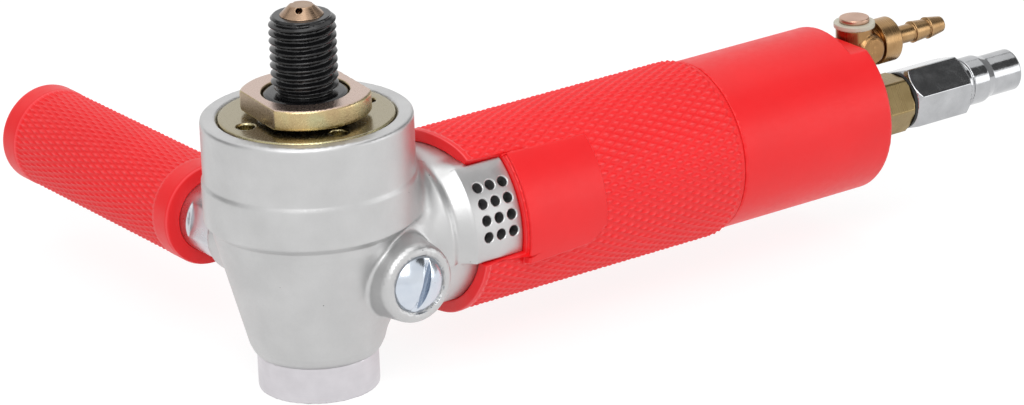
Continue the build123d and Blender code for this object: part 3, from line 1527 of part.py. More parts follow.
# Water valve body: upright barrel, blind boss to -Y, arm to the barb, spigot into the inlet body
valve_bore_r = spool_r + running_gap
oring_tops = (
    valve_top_z - valve_oring_inset + valve_oring / 2,
    valve_bottom_z + valve_oring_low + valve_oring / 2,
)
with BuildPart() as water_valve_body:
    with BuildSketch(valve_upright):
        Polygon(*box_points(0, valve_r, valve_bottom_z, valve_top_z), align=None)
    revolve(axis=valve_axis)
    with BuildSketch(square_to_x(valve_x, water_z)):
        Circle(valve_arm_r)
    extrude(amount=valve_arm)
    with BuildSketch(square_to_y(valve_x + valve_boss_shift, 0, water_z)):
        Circle(valve_boss_r)
    extrude(amount=-valve_boss_reach)
    with BuildSketch(square_to_x(valve_x, outlet_z)):
        Circle(outlet_r)
    extrude(amount=body_end_x - outlet_reach + fit_gap - valve_x)
    with BuildSketch(valve_upright):
        Polygon(*box_points(0, valve_bore_r, valve_bottom_z, valve_top_z), align=None)
    revolve(axis=valve_axis, mode=Mode.SUBTRACT)
    for oring_top in oring_tops:
        with BuildSketch(valve_upright):
            groove_foot_r = valve_bore_r - fit_gap
            groove_r = valve_bore_r + valve_oring
            Polygon(*box_points(groove_foot_r, groove_r, oring_top - valve_oring, oring_top), align=None)
        revolve(axis=valve_axis, mode=Mode.SUBTRACT)
    with BuildSketch(square_to_x(valve_x, water_z)):
        Circle(valve_port_r)
    extrude(amount=valve_arm, mode=Mode.SUBTRACT)
    with BuildSketch(square_to_x(valve_arm_end_x, water_z)):
        Circle(valve_thread_r + fit_gap)
    extrude(amount=-valve_thread, mode=Mode.SUBTRACT)
    with BuildSketch(square_to_x(valve_x, outlet_z)):
        Circle(valve_port_r)
    extrude(amount=body_end_x - outlet_reach - cut_over - valve_x, mode=Mode.SUBTRACT)
water_valve_body.part.label = "water_valve_body"
export_step(water_valve_body.part, "parts/water_valve_body.step")

# Push spool: its waist joins inlet and outlet while it is down
with BuildPart() as water_valve_spool:
    with BuildSketch(valve_upright):
        Polygon(
            (0, button_z + button),
            (button_r - button_edge, button_z + button),
            (button_r, button_z + button - button_edge),
            (button_r, button_z),
            (spool_r, button_z),
            (spool_r, water_z + valve_port_r),
            (spool_waist_r, water_z + valve_port_r),
            (spool_waist_r, outlet_z - valve_port_r),
            (spool_r, outlet_z - valve_port_r),
            (spool_r, clip_top_z),
            (spool_r - valve_clip_groove, clip_top_z),
            (spool_r - valve_clip_groove, clip_top_z - valve_clip_width),
            (spool_r, clip_top_z - valve_clip_width),
            (spool_r, spool_end_z),
            (0, spool_end_z),
            align=None,
        )
    revolve(axis=valve_axis)
water_valve_spool.part.label = "water_valve_spool"
export_step(water_valve_spool.part, "parts/water_valve_spool.step")

# Washers above and below the valve body
with BuildPart() as valve_washers:
    for washer_z in (valve_top_z, washer_low_z):
        with BuildSketch(valve_upright):
            Polygon(*box_points(spool_r + running_gap, washer_r, washer_z, washer_z + washer), align=None)
        revolve(axis=valve_axis)
valve_washers.part.label = "valve_washers"
export_step(valve_washers.part, "parts/valve_washers.step")

# O-rings in the valve body, round the spool
with BuildPart() as valve_orings:
    for oring_top in oring_tops:
        with BuildSketch(valve_upright):
            with Locations((valve_bore_r + valve_oring / 2, oring_top - valve_oring / 2)):
                Circle(valve_oring / 2 - fit_gap)
        revolve(axis=valve_axis)
valve_orings.part.label = "valve_orings"
export_step(valve_orings.part, "parts/valve_orings.step")

# Clip at the spool's lower end, which stops its upward travel
with BuildPart() as valve_clip:
    with BuildSketch(Plane((valve_x, 0, clip_top_z - fit_gap))):
        Circle(valve_clip_r)
        Circle(spool_r - valve_clip_groove + fit_gap, mode=Mode.SUBTRACT)
        Polygon(*fan_points(2 * valve_clip_r, 0, valve_clip_gap_angle), align=None, mode=Mode.SUBTRACT)
    extrude(amount=2 * fit_gap - valve_clip_width)
valve_clip.part.label = "valve_clip"
export_step(valve_clip.part, "parts/valve_clip.step")

# Hose barb: threaded shank in the valve arm, collar and two ridges
with BuildPart() as hose_barb:
    barb_points = [
        (valve_arm_end_x - valve_thread + moving_gap, barb_bore_r),
        (valve_arm_end_x - valve_thread + moving_gap, valve_thread_r),
        (valve_arm_end_x, valve_thread_r),
        (valve_arm_end_x, barb_collar_r),
        (barb_collar_end_x - barb_collar_edge, barb_collar_r),
        (barb_collar_end_x, barb_collar_r - barb_collar_edge),
        (barb_collar_end_x, barb_stem_r),
    ]
    for ridge in range(barb_count):
        ridge_x = barb_collar_end_x + barb_first + barb_pitch * ridge
        barb_points.append((ridge_x, barb_stem_r))
        barb_points.append((ridge_x, barb_r))
        if ridge < barb_count - 1:
            barb_points.append((ridge_x + barb_pitch, barb_stem_r))
    barb_points.append((barb_end_x, barb_nose_r))
    barb_points.append((barb_end_x, barb_bore_r))
    with BuildSketch(water_lengthways):
        Polygon(*barb_points, align=None)
    revolve(axis=water_axis)
hose_barb.part.label = "hose_barb"
export_step(hose_barb.part, "parts/hose_barb.step")
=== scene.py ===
"""Dressed model of an air wet polisher with knurled red grips, brass water valve and chromed air plug.

Every piece is a closed skin over a distance field or a wrapped grid, in millimetres in the part's own frame.
"""

import logging
import math
from dataclasses import dataclass, field, replace
from enum import Enum, IntEnum
from typing import Callable

import bpy
import numpy as np
from mathutils import Matrix, Vector


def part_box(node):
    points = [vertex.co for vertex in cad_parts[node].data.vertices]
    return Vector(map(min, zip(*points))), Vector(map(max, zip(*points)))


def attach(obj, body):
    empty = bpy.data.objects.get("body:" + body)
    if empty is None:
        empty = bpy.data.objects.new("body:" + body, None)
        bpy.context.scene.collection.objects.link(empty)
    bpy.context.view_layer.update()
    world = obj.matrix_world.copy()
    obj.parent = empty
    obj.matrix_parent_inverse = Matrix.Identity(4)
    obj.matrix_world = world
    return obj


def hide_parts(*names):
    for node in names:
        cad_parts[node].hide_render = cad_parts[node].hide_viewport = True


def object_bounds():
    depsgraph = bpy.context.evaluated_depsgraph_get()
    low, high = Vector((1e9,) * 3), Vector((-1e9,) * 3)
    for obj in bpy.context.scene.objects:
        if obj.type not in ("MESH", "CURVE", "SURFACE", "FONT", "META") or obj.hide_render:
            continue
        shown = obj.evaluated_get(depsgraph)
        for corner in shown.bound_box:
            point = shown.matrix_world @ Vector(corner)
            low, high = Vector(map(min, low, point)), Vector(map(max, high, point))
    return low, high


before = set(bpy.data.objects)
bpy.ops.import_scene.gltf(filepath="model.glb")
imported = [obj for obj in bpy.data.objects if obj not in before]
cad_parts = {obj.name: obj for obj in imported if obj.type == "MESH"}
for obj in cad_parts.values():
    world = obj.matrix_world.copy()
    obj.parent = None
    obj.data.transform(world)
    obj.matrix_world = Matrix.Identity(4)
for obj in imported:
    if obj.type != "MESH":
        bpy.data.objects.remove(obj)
CAD_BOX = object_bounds()

MM = 0.001
LOG = logging.getLogger("air_polisher")

# Keeps a division from dividing by nothing
TINY = 1e-12
# Length that a square step takes in an outline, because an outline never runs back along its axis
HAIR = 0.02
# Gap between a piece and the hole that holds it
FIT = 0.02
# How far a cut runs past the face that it opens
PAST = 1.0

Points = np.ndarray
Values = np.ndarray
Field = Callable[[Points], Values]
Pair = tuple[float, float]
Outline = tuple[Pair, ...]
Spot = tuple[float, float, float]
Tree = bpy.types.NodeTree
Node = bpy.types.Node
Socket = bpy.types.NodeSocket
Piece = bpy.types.Object


class Axis(IntEnum):
    """The frame's axes."""

    X = 0
    Y = 1
    Z = 2


class Body(Enum):
    """The bodies that new pieces ride on."""

    TOOL = "tool"
    SPINDLE = "spindle_set"
    THROTTLE = "throttle"
    BUTTON = "water_button"


def room(node: str) -> tuple[Spot, Spot]:
    """Lowest and highest corner of a CAD node, in millimetres."""
    low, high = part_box(node)
    return tuple(c / MM for c in low), tuple(c / MM for c in high)


def span(node: str, axis: Axis) -> Pair:
    """Lowest and highest place of a CAD node along an axis, in millimetres."""
    low, high = room(node)
    return low[axis], high[axis]


def middle(node: str, axis: Axis) -> float:
    """Middle of a CAD node along an axis, in millimetres."""
    return sum(span(node, axis)) / 2


# Distance fields


def soft_min(one: Values, other: Values, blend: float) -> Values:
    """Join two fields with a fillet.

    Args:
        one: First field's distances.
        other: Second field's distances.
        blend: Width over which the two run together, or 0 for a sharp corner.

    Returns:
        Distances of the joined form.
    """
    if blend <= 0.0:
        return np.minimum(one, other)
    share = np.clip(0.5 + 0.5 * (other - one) / blend, 0.0, 1.0)
    return other + (one - other) * share - blend * share * (1.0 - share)


def soft_max(one: Values, other: Values, blend: float) -> Values:
    """Keep what two fields share, with the edge between them broken over the blend's width."""
    return -soft_min(-one, -other, blend)


def less(body: Field, blend: float, *cuts: Field) -> Field:
    """A form with others cut out of it.

    Args:
        body: The whole form.
        blend: Width over which the cut edges are broken, or 0 for sharp ones.
        cuts: The forms to cut out.

    Returns:
        What is left.
    """

    def form(points: Points) -> Values:
        """Distances from what is left."""
        distance = body(points)
        for cut in cuts:
            distance = soft_max(distance, -cut(points), blend)
        return distance

    return form


def rod(points: Points, start: Spot, way: Spot, radius: float) -> Values:
    """Distance to an endless round rod.

    Args:
        points: Places to measure from.
        start: A point on the rod's axis.
        way: Direction of the axis.
        radius: The rod's radius.

    Returns:
        Distances, below zero inside.
    """
    along = np.asarray(way, float) / np.linalg.norm(way)
    off = points - np.asarray(start, float)
    off = off - (off @ along)[:, None] * along
    return np.linalg.norm(off, axis=1) - radius


def hexagon(across: Values, up: Values, flats: float, turn: float, edge: float) -> Values:
    """Distance to the sides of a hexagon bar.

    Args:
        across: Places across the bar.
        up: Places up the bar's section.
        flats: Size across flats.
        turn: Angle of a corner from straight up, in degrees.
        edge: Width over which its corners are broken.

    Returns:
        Distances, below zero inside.
    """
    sine, cosine = math.sin(math.radians(turn)), math.cos(math.radians(turn))
    across, up = across * cosine + up * sine, up * cosine - across * sine
    lean, rise = math.cos(math.radians(60.0)) * across, math.sin(math.radians(60.0)) * up
    sides = soft_max(np.abs(across), np.abs(lean + rise), edge)
    return soft_max(sides, np.abs(lean - rise), edge) - flats / 2


def stepped(start: float, *runs: Pair) -> Outline:
    """Outline of a bar or bore in square steps.

    Args:
        start: Where it starts.
        runs: Radius of each run and the place where the run ends.

    Returns:
        Its points.
    """
    points: list[Pair] = []
    for radius, stop in runs:
        points += [(start, radius), (stop, radius)]
        start = stop + HAIR
    return tuple(points)


def moved(outline: Outline, place: float, radius: float) -> Outline:
    """An outline moved along its axis to a place and out to a radius."""
    return tuple((place + along, radius + out) for along, out in outline)


# Largest share of an outline's side that a rounded corner takes
CORNER_SHARE = 0.45
# A corner that takes no more than this is drawn as a chamfer, and a larger one as a curve of so many points
CHAMFER = 0.05
CURVE_POINTS = 5


@dataclass
class Turned:
    """A turned form: the true distance to a profile that is spun about an axis.

    Attributes:
        axis: The axis it turns about.
        centre: The axis's place on the two other axes, in their order.
        outline: Place along the axis and radius, from one end to the other.
        soften: Length that the rounding takes from each side of a corner.
        edge: The same at its two ends.
        profile: The outline with its corners rounded, closed at both ends.
    """

    axis: Axis
    centre: Pair
    outline: Outline
    soften: float = 0.0
    edge: float = 0.0
    profile: np.ndarray = field(init=False)

    def __post_init__(self) -> None:
        """Close the profile at both ends and round its corners."""
        knots = np.array([(self.outline[0][0], 0.0), *self.outline, (self.outline[-1][0], 0.0)], float)
        rounded = [knots[0]]
        for number in range(1, len(knots) - 1):
            back, corner, ahead = knots[number - 1 : number + 2]
            at_end = number in (1, len(knots) - 2)
            sides = (back - corner, ahead - corner)
            lengths = [max(float(np.hypot(*side)), TINY) for side in sides]
            cut = min(self.edge if at_end else self.soften, *(CORNER_SHARE * length for length in lengths))
            start, stop = (corner + side / length * cut for side, length in zip(sides, lengths))
            count = CURVE_POINTS if cut > CHAMFER else 2
            for share in np.linspace(0.0, 1.0, count) if cut > 0.0 else (0.5,):
                rounded.append((1 - share) ** 2 * start + 2 * share * (1 - share) * corner + share**2 * stop)
        self.profile = np.array([*rounded, knots[-1]])

    def __call__(self, points: Points) -> Values:
        """Distances from the form, below zero inside."""
        one, other = [axis for axis in Axis if axis != self.axis]
        along = points[:, self.axis]
        radius = np.hypot(points[:, one] - self.centre[0], points[:, other] - self.centre[1])
        nearest = np.full(len(points), np.inf)
        for (t0, r0), (t1, r1) in zip(self.profile[:-1], self.profile[1:]):
            dt, dr = t1 - t0, r1 - r0
            off_t, off_r = along - t0, radius - r0
            share = np.clip((off_t * dt + off_r * dr) / max(dt * dt + dr * dr, TINY), 0.0, 1.0)
            nearest = np.minimum(nearest, (off_t - share * dt) ** 2 + (off_r - share * dr) ** 2)
        wall = np.interp(along, self.profile[:, 0], self.profile[:, 1], left=-1.0, right=-1.0)
        return np.sqrt(nearest) * np.where(radius < wall, -1.0, 1.0)


OCTANTS = np.array([(i, j, k) for i in (0, 1) for j in (0, 1) for k in (0, 1)])
# Times that the coarse cells of a search are halved
HALVINGS = 4
# Empty cells round the room that holds a form
MARGIN = 2
# Share of a cell over which a field's slope is measured
SLOPE_REACH = 0.1
# Pull that keeps a vertex near the middle of its cell's crossings where the surface is flat
MIDDLE_PULL = 0.05


def slope_of(form: Field, points: Points, reach: float) -> Points:
    """Unit direction in which a field grows.

    Args:
        form: The field.
        points: Places to look at.
        reach: Half the distance between the two samples on each axis.

    Returns:
        One direction per point.
    """
    steps = reach * np.eye(3)
    grown = np.stack([form(points + step) - form(points - step) for step in steps], axis=1)
    return grown / np.maximum(np.linalg.norm(grown, axis=1, keepdims=True), TINY)


def near_cells(form: Field, low: np.ndarray, high: np.ndarray, cell: float) -> np.ndarray:
    """Cells of a fine grid that the field's surface may pass, found by halving coarse ones.

    Args:
        form: The field.
        low: Lowest corner of the room to search.
        high: Highest corner.
        cell: Size of the finest cells.

    Returns:
        Whole-number places of the cells.
    """
    size = cell * 2**HALVINGS
    counts = np.ceil((high - low) / size).astype(int)
    cells = np.stack(np.meshgrid(*[np.arange(n) for n in counts], indexing="ij"), -1).reshape(-1, 3)
    for halving in range(HALVINGS + 1):
        if halving:
            cells = (cells[:, None] * 2 + OCTANTS).reshape(-1, 3)
            size /= 2
        cells = cells[np.abs(form(low + (cells + 0.5) * size)) < size]
    return cells


def skin(form: Field, low: Spot, high: Spot, cell: float) -> tuple[Points, np.ndarray, Points]:
    """Quads over a field's surface, with a vertex in each cell where the surface's planes meet.

    Args:
        form: The field.
        low: Lowest corner of the room that holds the form.
        high: Highest corner.
        cell: Size of the grid's cells.

    Returns:
        Vertices, quads and the surface's direction at each vertex.
    """
    low, high = np.asarray(low, float) - MARGIN * cell, np.asarray(high, float) + MARGIN * cell
    cells = near_cells(form, low, high, cell)
    reach = cells.max(0) + MARGIN + 1
    weight = np.array([reach[1] * reach[2], reach[2], 1])
    cells = cells[np.argsort(cells @ weight)]
    cell_ids = cells @ weight
    corner_ids = np.unique((cell_ids[:, None] + OCTANTS @ weight).ravel())
    corners = np.stack(np.unravel_index(corner_ids, reach), -1)
    values = form(low + corners * cell)
    crossings, quads = [], []
    for axis in Axis:
        after = np.searchsorted(corner_ids, corner_ids + weight[axis]).clip(max=len(corner_ids) - 1)
        joined = corner_ids[after] == corner_ids + weight[axis]
        start = np.nonzero(joined & ((values < 0) != (values[after] < 0)))[0]
        share = values[start] / (values[start] - values[after[start]])
        place = corners[start].astype(float)
        place[:, axis] += share
        one, other = weight[(axis + 1) % 3], weight[(axis + 2) % 3]
        ring = corner_ids[start, None] - np.array([0, one, one + other, other])
        outward = values[start] < 0
        ring[~outward] = ring[~outward][:, ::-1]
        crossings.append(low + place * cell)
        quads.append(ring)
    crossings, quads = np.concatenate(crossings), np.concatenate(quads)
    found = np.searchsorted(cell_ids, quads).clip(max=len(cell_ids) - 1)
    whole = (cell_ids[found] == quads).all(1)
    crossings, quads = crossings[whole], found[whole]
    facing = slope_of(form, crossings, cell * SLOPE_REACH)
    crossings = crossings - facing * form(crossings)[:, None]
    used, quads = np.unique(quads, return_inverse=True)
    quads = quads.reshape(-1, 4)
    slots, count = quads.ravel(), len(used)
    times = np.bincount(slots, minlength=count)

    def gathered(amounts: Values) -> Values:
        """Sum of what each cell's crossings bring."""
        return np.bincount(slots, np.repeat(amounts, 4), count)

    centre = np.stack([gathered(crossings[:, axis]) / times for axis in Axis], 1)
    spread = np.empty((count, 3, 3))
    for row in Axis:
        for column in Axis:
            spread[:, row, column] = gathered(facing[:, row] * facing[:, column])
    pull = np.stack([gathered(facing[:, axis] * (facing * crossings).sum(1)) for axis in Axis], 1)
    pull = pull - np.einsum("nij,nj->ni", spread, centre)
    shift = np.linalg.solve(spread + MIDDLE_PULL * np.eye(3), pull[:, :, None])[:, :, 0]
    vertices = centre + np.clip(shift, -cell, cell)
    return vertices, quads, slope_of(form, vertices, cell * SLOPE_REACH)


def ease(value: Values, low: float, high: float) -> Values:
    """Smooth step from 0 at one value to 1 at another."""
    share = np.clip((value - low) / (high - low), 0.0, 1.0)
    return share * share * (3.0 - 2.0 * share)


# Share of a diamond that the grooves' flat floor takes
GROOVE_FLOOR = 0.25


def diamonds(along: Values, around: Values) -> Values:
    """Height from 0 to 1 of pyramids left by two crossing sets of straight grooves.

    Args:
        along: Place along the grip, in diamonds.
        around: Place round the grip, in diamonds.

    Returns:
        The heights.
    """
    one, other = (np.abs((lane % 1.0) * 2.0 - 1.0) for lane in (along + around, along - around))
    return np.clip((np.minimum(one, other) - GROOVE_FLOOR) / (1.0 - GROOVE_FLOOR), 0.0, 1.0)


# Finishes


def linear(colour: str) -> tuple[float, float, float, float]:
    """Linear colour of an sRGB hex value such as #C0C0C0."""
    parts = [int(colour[i : i + 2], 16) / 255 for i in (1, 3, 5)]
    return (*[c / 12.92 if c <= 0.04045 else ((c + 0.055) / 1.055) ** 2.4 for c in parts], 1.0)


def add_node(tree: Tree, kind: str, inputs: dict[str | int, object], **settings: object) -> Node:
    """Add a node with its settings and links.

    Args:
        tree: The material's or world's node tree.
        kind: Blender's name for the node.
        inputs: Value or linked socket for each input.
        settings: The node's own settings; stops are the places and hex colours of a ramp.

    Returns:
        The new node.
    """
    node = tree.nodes.new(kind)
    stops = settings.pop("stops", ())
    for _ in stops[2:]:
        node.color_ramp.elements.new(0.5)
    for number, (place, colour) in enumerate(stops):
        node.color_ramp.elements[number].position = place
        node.color_ramp.elements[number].color = linear(colour)
    for name, value in settings.items():
        setattr(node, name, value)
    for socket, value in inputs.items():
        if isinstance(value, bpy.types.NodeSocket):
            tree.links.new(value, node.inputs[socket])
        else:
            node.inputs[socket].default_value = value
    return node


# Most values of a noise pattern lie between these two
NOISE_LOW, NOISE_HIGH = 0.3, 0.7
# Share of a bump's depth that shows
BUMP_STRENGTH = 0.5


@dataclass(frozen=True)
class Coat:
    """What a finish gives the shader; the depth is that of the height pattern, in millimetres."""

    colour: Socket
    roughness: Socket
    height: Socket
    depth: float


@dataclass(frozen=True)
class Finish:
    """A material and how its surface was made.

    Attributes:
        name: The material's name.
        colour: Its main colour.
        shade: The colour that it drifts to.
        roughness: Its mean roughness.
        metallic: 1 for bare metal, 0 for the rest.
    """

    name: str
    colour: str
    shade: str
    roughness: float
    metallic: float

    def material(self) -> bpy.types.Material:
        """The Blender material, made at its first use."""
        known = bpy.data.materials.get(self.name)
        if known is not None:
            return known
        made = bpy.data.materials.new(self.name)
        made.use_nodes = True
        tree = made.node_tree
        shader = tree.nodes["Principled BSDF"]
        shader.inputs["Metallic"].default_value = self.metallic
        coordinates = add_node(tree, "ShaderNodeTexCoord", {})
        scale = {0: coordinates.outputs["Object"], "Scale": 1.0 / MM}
        place = add_node(tree, "ShaderNodeVectorMath", scale, operation="SCALE")
        coat = self.paint(tree, place.outputs["Vector"])
        dent = {"Height": coat.height, "Distance": coat.depth * MM, "Strength": BUMP_STRENGTH}
        bump = add_node(tree, "ShaderNodeBump", dent)
        tree.links.new(coat.colour, shader.inputs["Base Color"])
        tree.links.new(coat.roughness, shader.inputs["Roughness"])
        tree.links.new(bump.outputs["Normal"], shader.inputs["Normal"])
        return made

    def paint(self, tree: Tree, place: Socket) -> Coat:
        """Add this finish's own pattern.

        Args:
            tree: The material's node tree.
            place: Place on the piece, in millimetres.

        Returns:
            What the pattern gives the shader.
        """
        raise NotImplementedError

    def drift(self, tree: Tree, place: Socket, size: float) -> Socket:
        """Colour that drifts between the finish's two tones over patches of a size in millimetres."""
        cloud = vary(tree, place, size, 0.0, 1.0)
        tones = ((0.0, self.shade), (1.0, self.colour))
        return add_node(tree, "ShaderNodeValToRGB", {"Fac": cloud}, stops=tones).outputs["Color"]

    def dress(self, piece: Piece) -> None:
        """Give a new piece this finish."""
        piece.data.materials.append(self.material())


def vary(tree: Tree, place: Socket, size: float, low: float, high: float, detail: float = 3.0) -> Socket:
    """A value that drifts over the surface.

    Args:
        tree: The material's node tree.
        place: Place on the piece, in millimetres.
        size: Size of the patches, in millimetres.
        low: Lowest value.
        high: Highest value.
        detail: Octaves of finer drift.

    Returns:
        The value.
    """
    noise = add_node(tree, "ShaderNodeTexNoise", {"Vector": place, "Scale": 1.0 / size, "Detail": detail})
    limits = {"From Min": NOISE_LOW, "From Max": NOISE_HIGH, "To Min": low, "To Max": high}
    return add_node(tree, "ShaderNodeMapRange", {"Value": noise.outputs["Fac"], **limits}).outputs["Result"]


@dataclass(frozen=True)
class PittedMetal(Finish):
    """Metal with a drift of tone, a fine relief and scattered small pits with ragged edges.

    Sizes are in millimetres, but a pit's width is a share of the spacing and the relief one of its depth.
    """

    cloud: float = 9.0
    grain: float = 0.5
    swing: float = 0.05
    relief: float = 0.15
    depth: float = 0.06
    pit_spacing: float = 4.5
    pit_colour: str = "#6E6E6E"
    pit_share: float = 0.72
    pit_width: float = 0.085
    pit_edge: float = 0.35
    pit_bays: Pair = (0.5, 1.2)

    def pits(self, tree: Tree, place: Socket) -> Socket:
        """1 in a pit and 0 elsewhere.

        Args:
            tree: The material's node tree.
            place: Place on the piece, in millimetres.

        Returns:
            The value.
        """
        cells = add_node(tree, "ShaderNodeTexVoronoi", {"Vector": place, "Scale": 1.0 / self.pit_spacing})
        chosen = add_node(tree, "ShaderNodeSeparateColor", {"Color": cells.outputs["Color"]})
        limits = {"From Min": self.pit_share, "From Max": 1.0, "To Min": 0.0, "To Max": self.pit_width}
        width = add_node(tree, "ShaderNodeMapRange", {"Value": chosen.outputs["Red"], **limits})
        bays = vary(tree, place, self.pit_edge, *self.pit_bays)
        rim = add_node(tree, "ShaderNodeMath", {0: width.outputs["Result"], 1: bays}, operation="MULTIPLY")
        sides = {0: cells.outputs["Distance"], 1: rim.outputs["Value"]}
        return add_node(tree, "ShaderNodeMath", sides, operation="LESS_THAN").outputs["Value"]

    def paint(self, tree: Tree, place: Socket) -> Coat:
        """Clouds and pits in the colour, a drift in the roughness, and relief and pits in the bump."""
        pit = self.pits(tree, place)
        tones = {"Factor": pit, "A": self.drift(tree, place, self.cloud), "B": linear(self.pit_colour)}
        colour = add_node(tree, "ShaderNodeMix", tones, data_type="RGBA").outputs["Result"]
        rough = vary(tree, place, self.grain, self.roughness - self.swing, self.roughness + self.swing)
        heights = {0: vary(tree, place, self.grain, 0.0, self.relief), 1: pit}
        height = add_node(tree, "ShaderNodeMath", heights, operation="SUBTRACT").outputs["Value"]
        return Coat(colour, rough, height, self.depth)


@dataclass(frozen=True)
class PlatedMetal(PittedMetal):
    """Plating over drawn steel: a mirror with faint waves, and specks where the plating has pitted."""

    cloud: float = 5.0
    grain: float = 2.5
    swing: float = 0.04
    relief: float = 1.0
    depth: float = 0.03
    pit_spacing: float = 1.6
    pit_colour: str = "#4A4A4C"


@dataclass(frozen=True)
class TurnedMetal(Finish):
    """Bar metal off the lathe: fine rings round its axis that draw the light out, and a faint drift of tone.

    The real feed marks are about 0.1 mm apart, too fine to show, so the rings are three times as coarse.
    """

    axis: Axis = Axis.Z
    ring: float = 0.3
    cloud: float = 5.0
    swing: float = 0.06
    depth: float = 0.012

    def paint(self, tree: Tree, place: Socket) -> Coat:
        """Tone drift, and rings along the turning axis in roughness and bump."""
        along = add_node(tree, "ShaderNodeSeparateXYZ", {"Vector": place}).outputs[int(self.axis)]
        marks = {"W": along, "Scale": 1.0 / self.ring, "Detail": 2.0}
        rings = add_node(tree, "ShaderNodeTexNoise", marks, noise_dimensions="1D").outputs["Fac"]
        limits = {"From Min": NOISE_LOW, "From Max": NOISE_HIGH}
        limits |= {"To Min": self.roughness - self.swing, "To Max": self.roughness + self.swing}
        rough = add_node(tree, "ShaderNodeMapRange", {"Value": rings, **limits}).outputs["Result"]
        return Coat(self.drift(tree, place, self.cloud), rough, rings, self.depth)


@dataclass(frozen=True)
class YellowZinc(Finish):
    """Steel, zinc plated and yellow passivated: gold on the round; painted reflection, mauve brown on top,
    brown on the flats.

    The painted reflection colours of top and flats come in between two tilts of the face, and the film drifts
    to green.
    """

    # Painted reflection: colours that the top and the flats take by the face's tilt
    top: str = "#C9B2A6"
    top_reflection_tilt: Pair = (0.6, 0.95)
    flats: str = "#A38F78"
    flats_reflection_tilt: Pair = (0.96, 0.985)
    green: str = "#BDB78E"
    cloud: float = 6.0
    speck: float = 0.45
    grit: float = 0.03
    swing: Pair = (-0.08, 0.1)

    def paint(self, tree: Tree, place: Socket) -> Coat:
        """The film's colour drifts, a painted reflection tints it by the face's tilt, and grit breaks its
        shine.
        """
        normal = add_node(tree, "ShaderNodeTexCoord", {}).outputs["Normal"]
        ways = add_node(tree, "ShaderNodeSeparateXYZ", {"Vector": normal}).outputs
        sideways = add_node(tree, "ShaderNodeMath", {0: ways["X"]}, operation="ABSOLUTE").outputs["Value"]
        tones = ((0.0, self.shade), (0.5, self.colour), (1.0, self.green))
        cloud = vary(tree, place, self.cloud, 0.0, 1.0)
        colour = add_node(tree, "ShaderNodeValToRGB", {"Fac": cloud}, stops=tones).outputs["Color"]
        # Painted reflection on the flats and the top, by the face's tilt
        faces = ((sideways, self.flats_reflection_tilt, self.flats), (ways["Z"], self.top_reflection_tilt, self.top))
        for tilt, (start, full), reflected_tone in faces:
            limits = {"Value": tilt, "From Min": start, "From Max": full}
            share = add_node(tree, "ShaderNodeMapRange", limits).outputs["Result"]
            parts = {"Factor": share, "A": colour, "B": linear(reflected_tone)}
            colour = add_node(tree, "ShaderNodeMix", parts, data_type="RGBA").outputs["Result"]
        low, high = (self.roughness + swing for swing in self.swing)
        rough = vary(tree, place, self.speck, low, high, detail=2.0)
        return Coat(colour, rough, vary(tree, place, self.speck, 0.0, 1.0, detail=2.0), self.grit)


@dataclass(frozen=True)
class Grained(Finish):
    """A surface with a drift of tone and a fine grain, as moulding, pressing or grinding leaves it."""

    cloud: float = 14.0
    grain: float = 0.4
    depth: float = 0.01
    patch: float = 4.0
    swing: float = 0.04

    def paint(self, tree: Tree, place: Socket) -> Coat:
        """Tone drift, and a grain in roughness and bump."""
        low, high = self.roughness - self.swing, self.roughness + self.swing
        rough = vary(tree, place, self.grain * self.patch, low, high)
        grain = vary(tree, place, self.grain, 0.0, 1.0)
        return Coat(self.drift(tree, place, self.cloud), rough, grain, self.depth)


@dataclass(frozen=True)
class KnurledPlastic(Grained):
    """Moulded plastic with a painted highlight that pales its knurl's tips, over a share of the knurl's
    depth.
    """

    axis: Axis = Axis.X
    height: float = 0.0
    r: float = 20.0
    knurl: float = 0.6
    # Painted highlight: share of the knurl's depth that it covers, and its colour
    highlight_reach: float = 0.6
    tip_highlight: str = "#FF585C"
    margin: float = 0.04

    def paint(self, tree: Tree, place: Socket) -> Coat:
        """The plain plastic with a painted highlight, paler towards the tips' radius; smooth parts lie at
        that radius or over it.
        """
        coat = super().paint(tree, place)
        centre = {0: place, 1: (0.0, 0.0, self.height)}
        off = add_node(tree, "ShaderNodeVectorMath", centre, operation="SUBTRACT").outputs["Vector"]
        across = {0: off, 1: [0.0 if axis == self.axis else 1.0 for axis in Axis]}
        spoke = add_node(tree, "ShaderNodeVectorMath", across, operation="MULTIPLY").outputs["Vector"]
        radius = add_node(tree, "ShaderNodeVectorMath", {0: spoke}, operation="LENGTH").outputs["Value"]
        # Painted highlight, paler towards the knurl's tips
        limits = {"Value": radius, "From Min": self.r - self.highlight_reach * self.knurl, "From Max": self.r}
        painted_highlight = add_node(tree, "ShaderNodeMapRange", limits).outputs["Result"]
        edge = {0: radius, 1: self.r - self.margin}
        under = add_node(tree, "ShaderNodeMath", edge, operation="LESS_THAN").outputs["Value"]
        share = add_node(tree, "ShaderNodeMath", {0: painted_highlight, 1: under}, operation="MULTIPLY").outputs["Value"]
        tones = {"Factor": share, "A": coat.colour, "B": linear(self.tip_highlight)}
        mixed = add_node(tree, "ShaderNodeMix", tones, data_type="RGBA")
        return replace(coat, colour=mixed.outputs["Result"])


# Tumbled casting: an even satin grey that smears what it reflects
CAST_ALUMINIUM = PittedMetal("aluminium_die_cast_tumbled", "#CACACA", "#C1C1C1", 0.42, 1.0)
# Fresh off the lathe: brighter and pinker than the casting
TURNED_ALUMINIUM = TurnedMetal("aluminium_turned", "#D6D3D7", "#CCC9CD", 0.38, 1.0, depth=0.004)
# Passivated zinc: a thin coloured film over bright metal, with painted reflection on its top and flats
YELLOW_ZINC = YellowZinc("steel_yellow_zinc_plated", "#C4B084", "#B89E78", 0.3, 1.0)
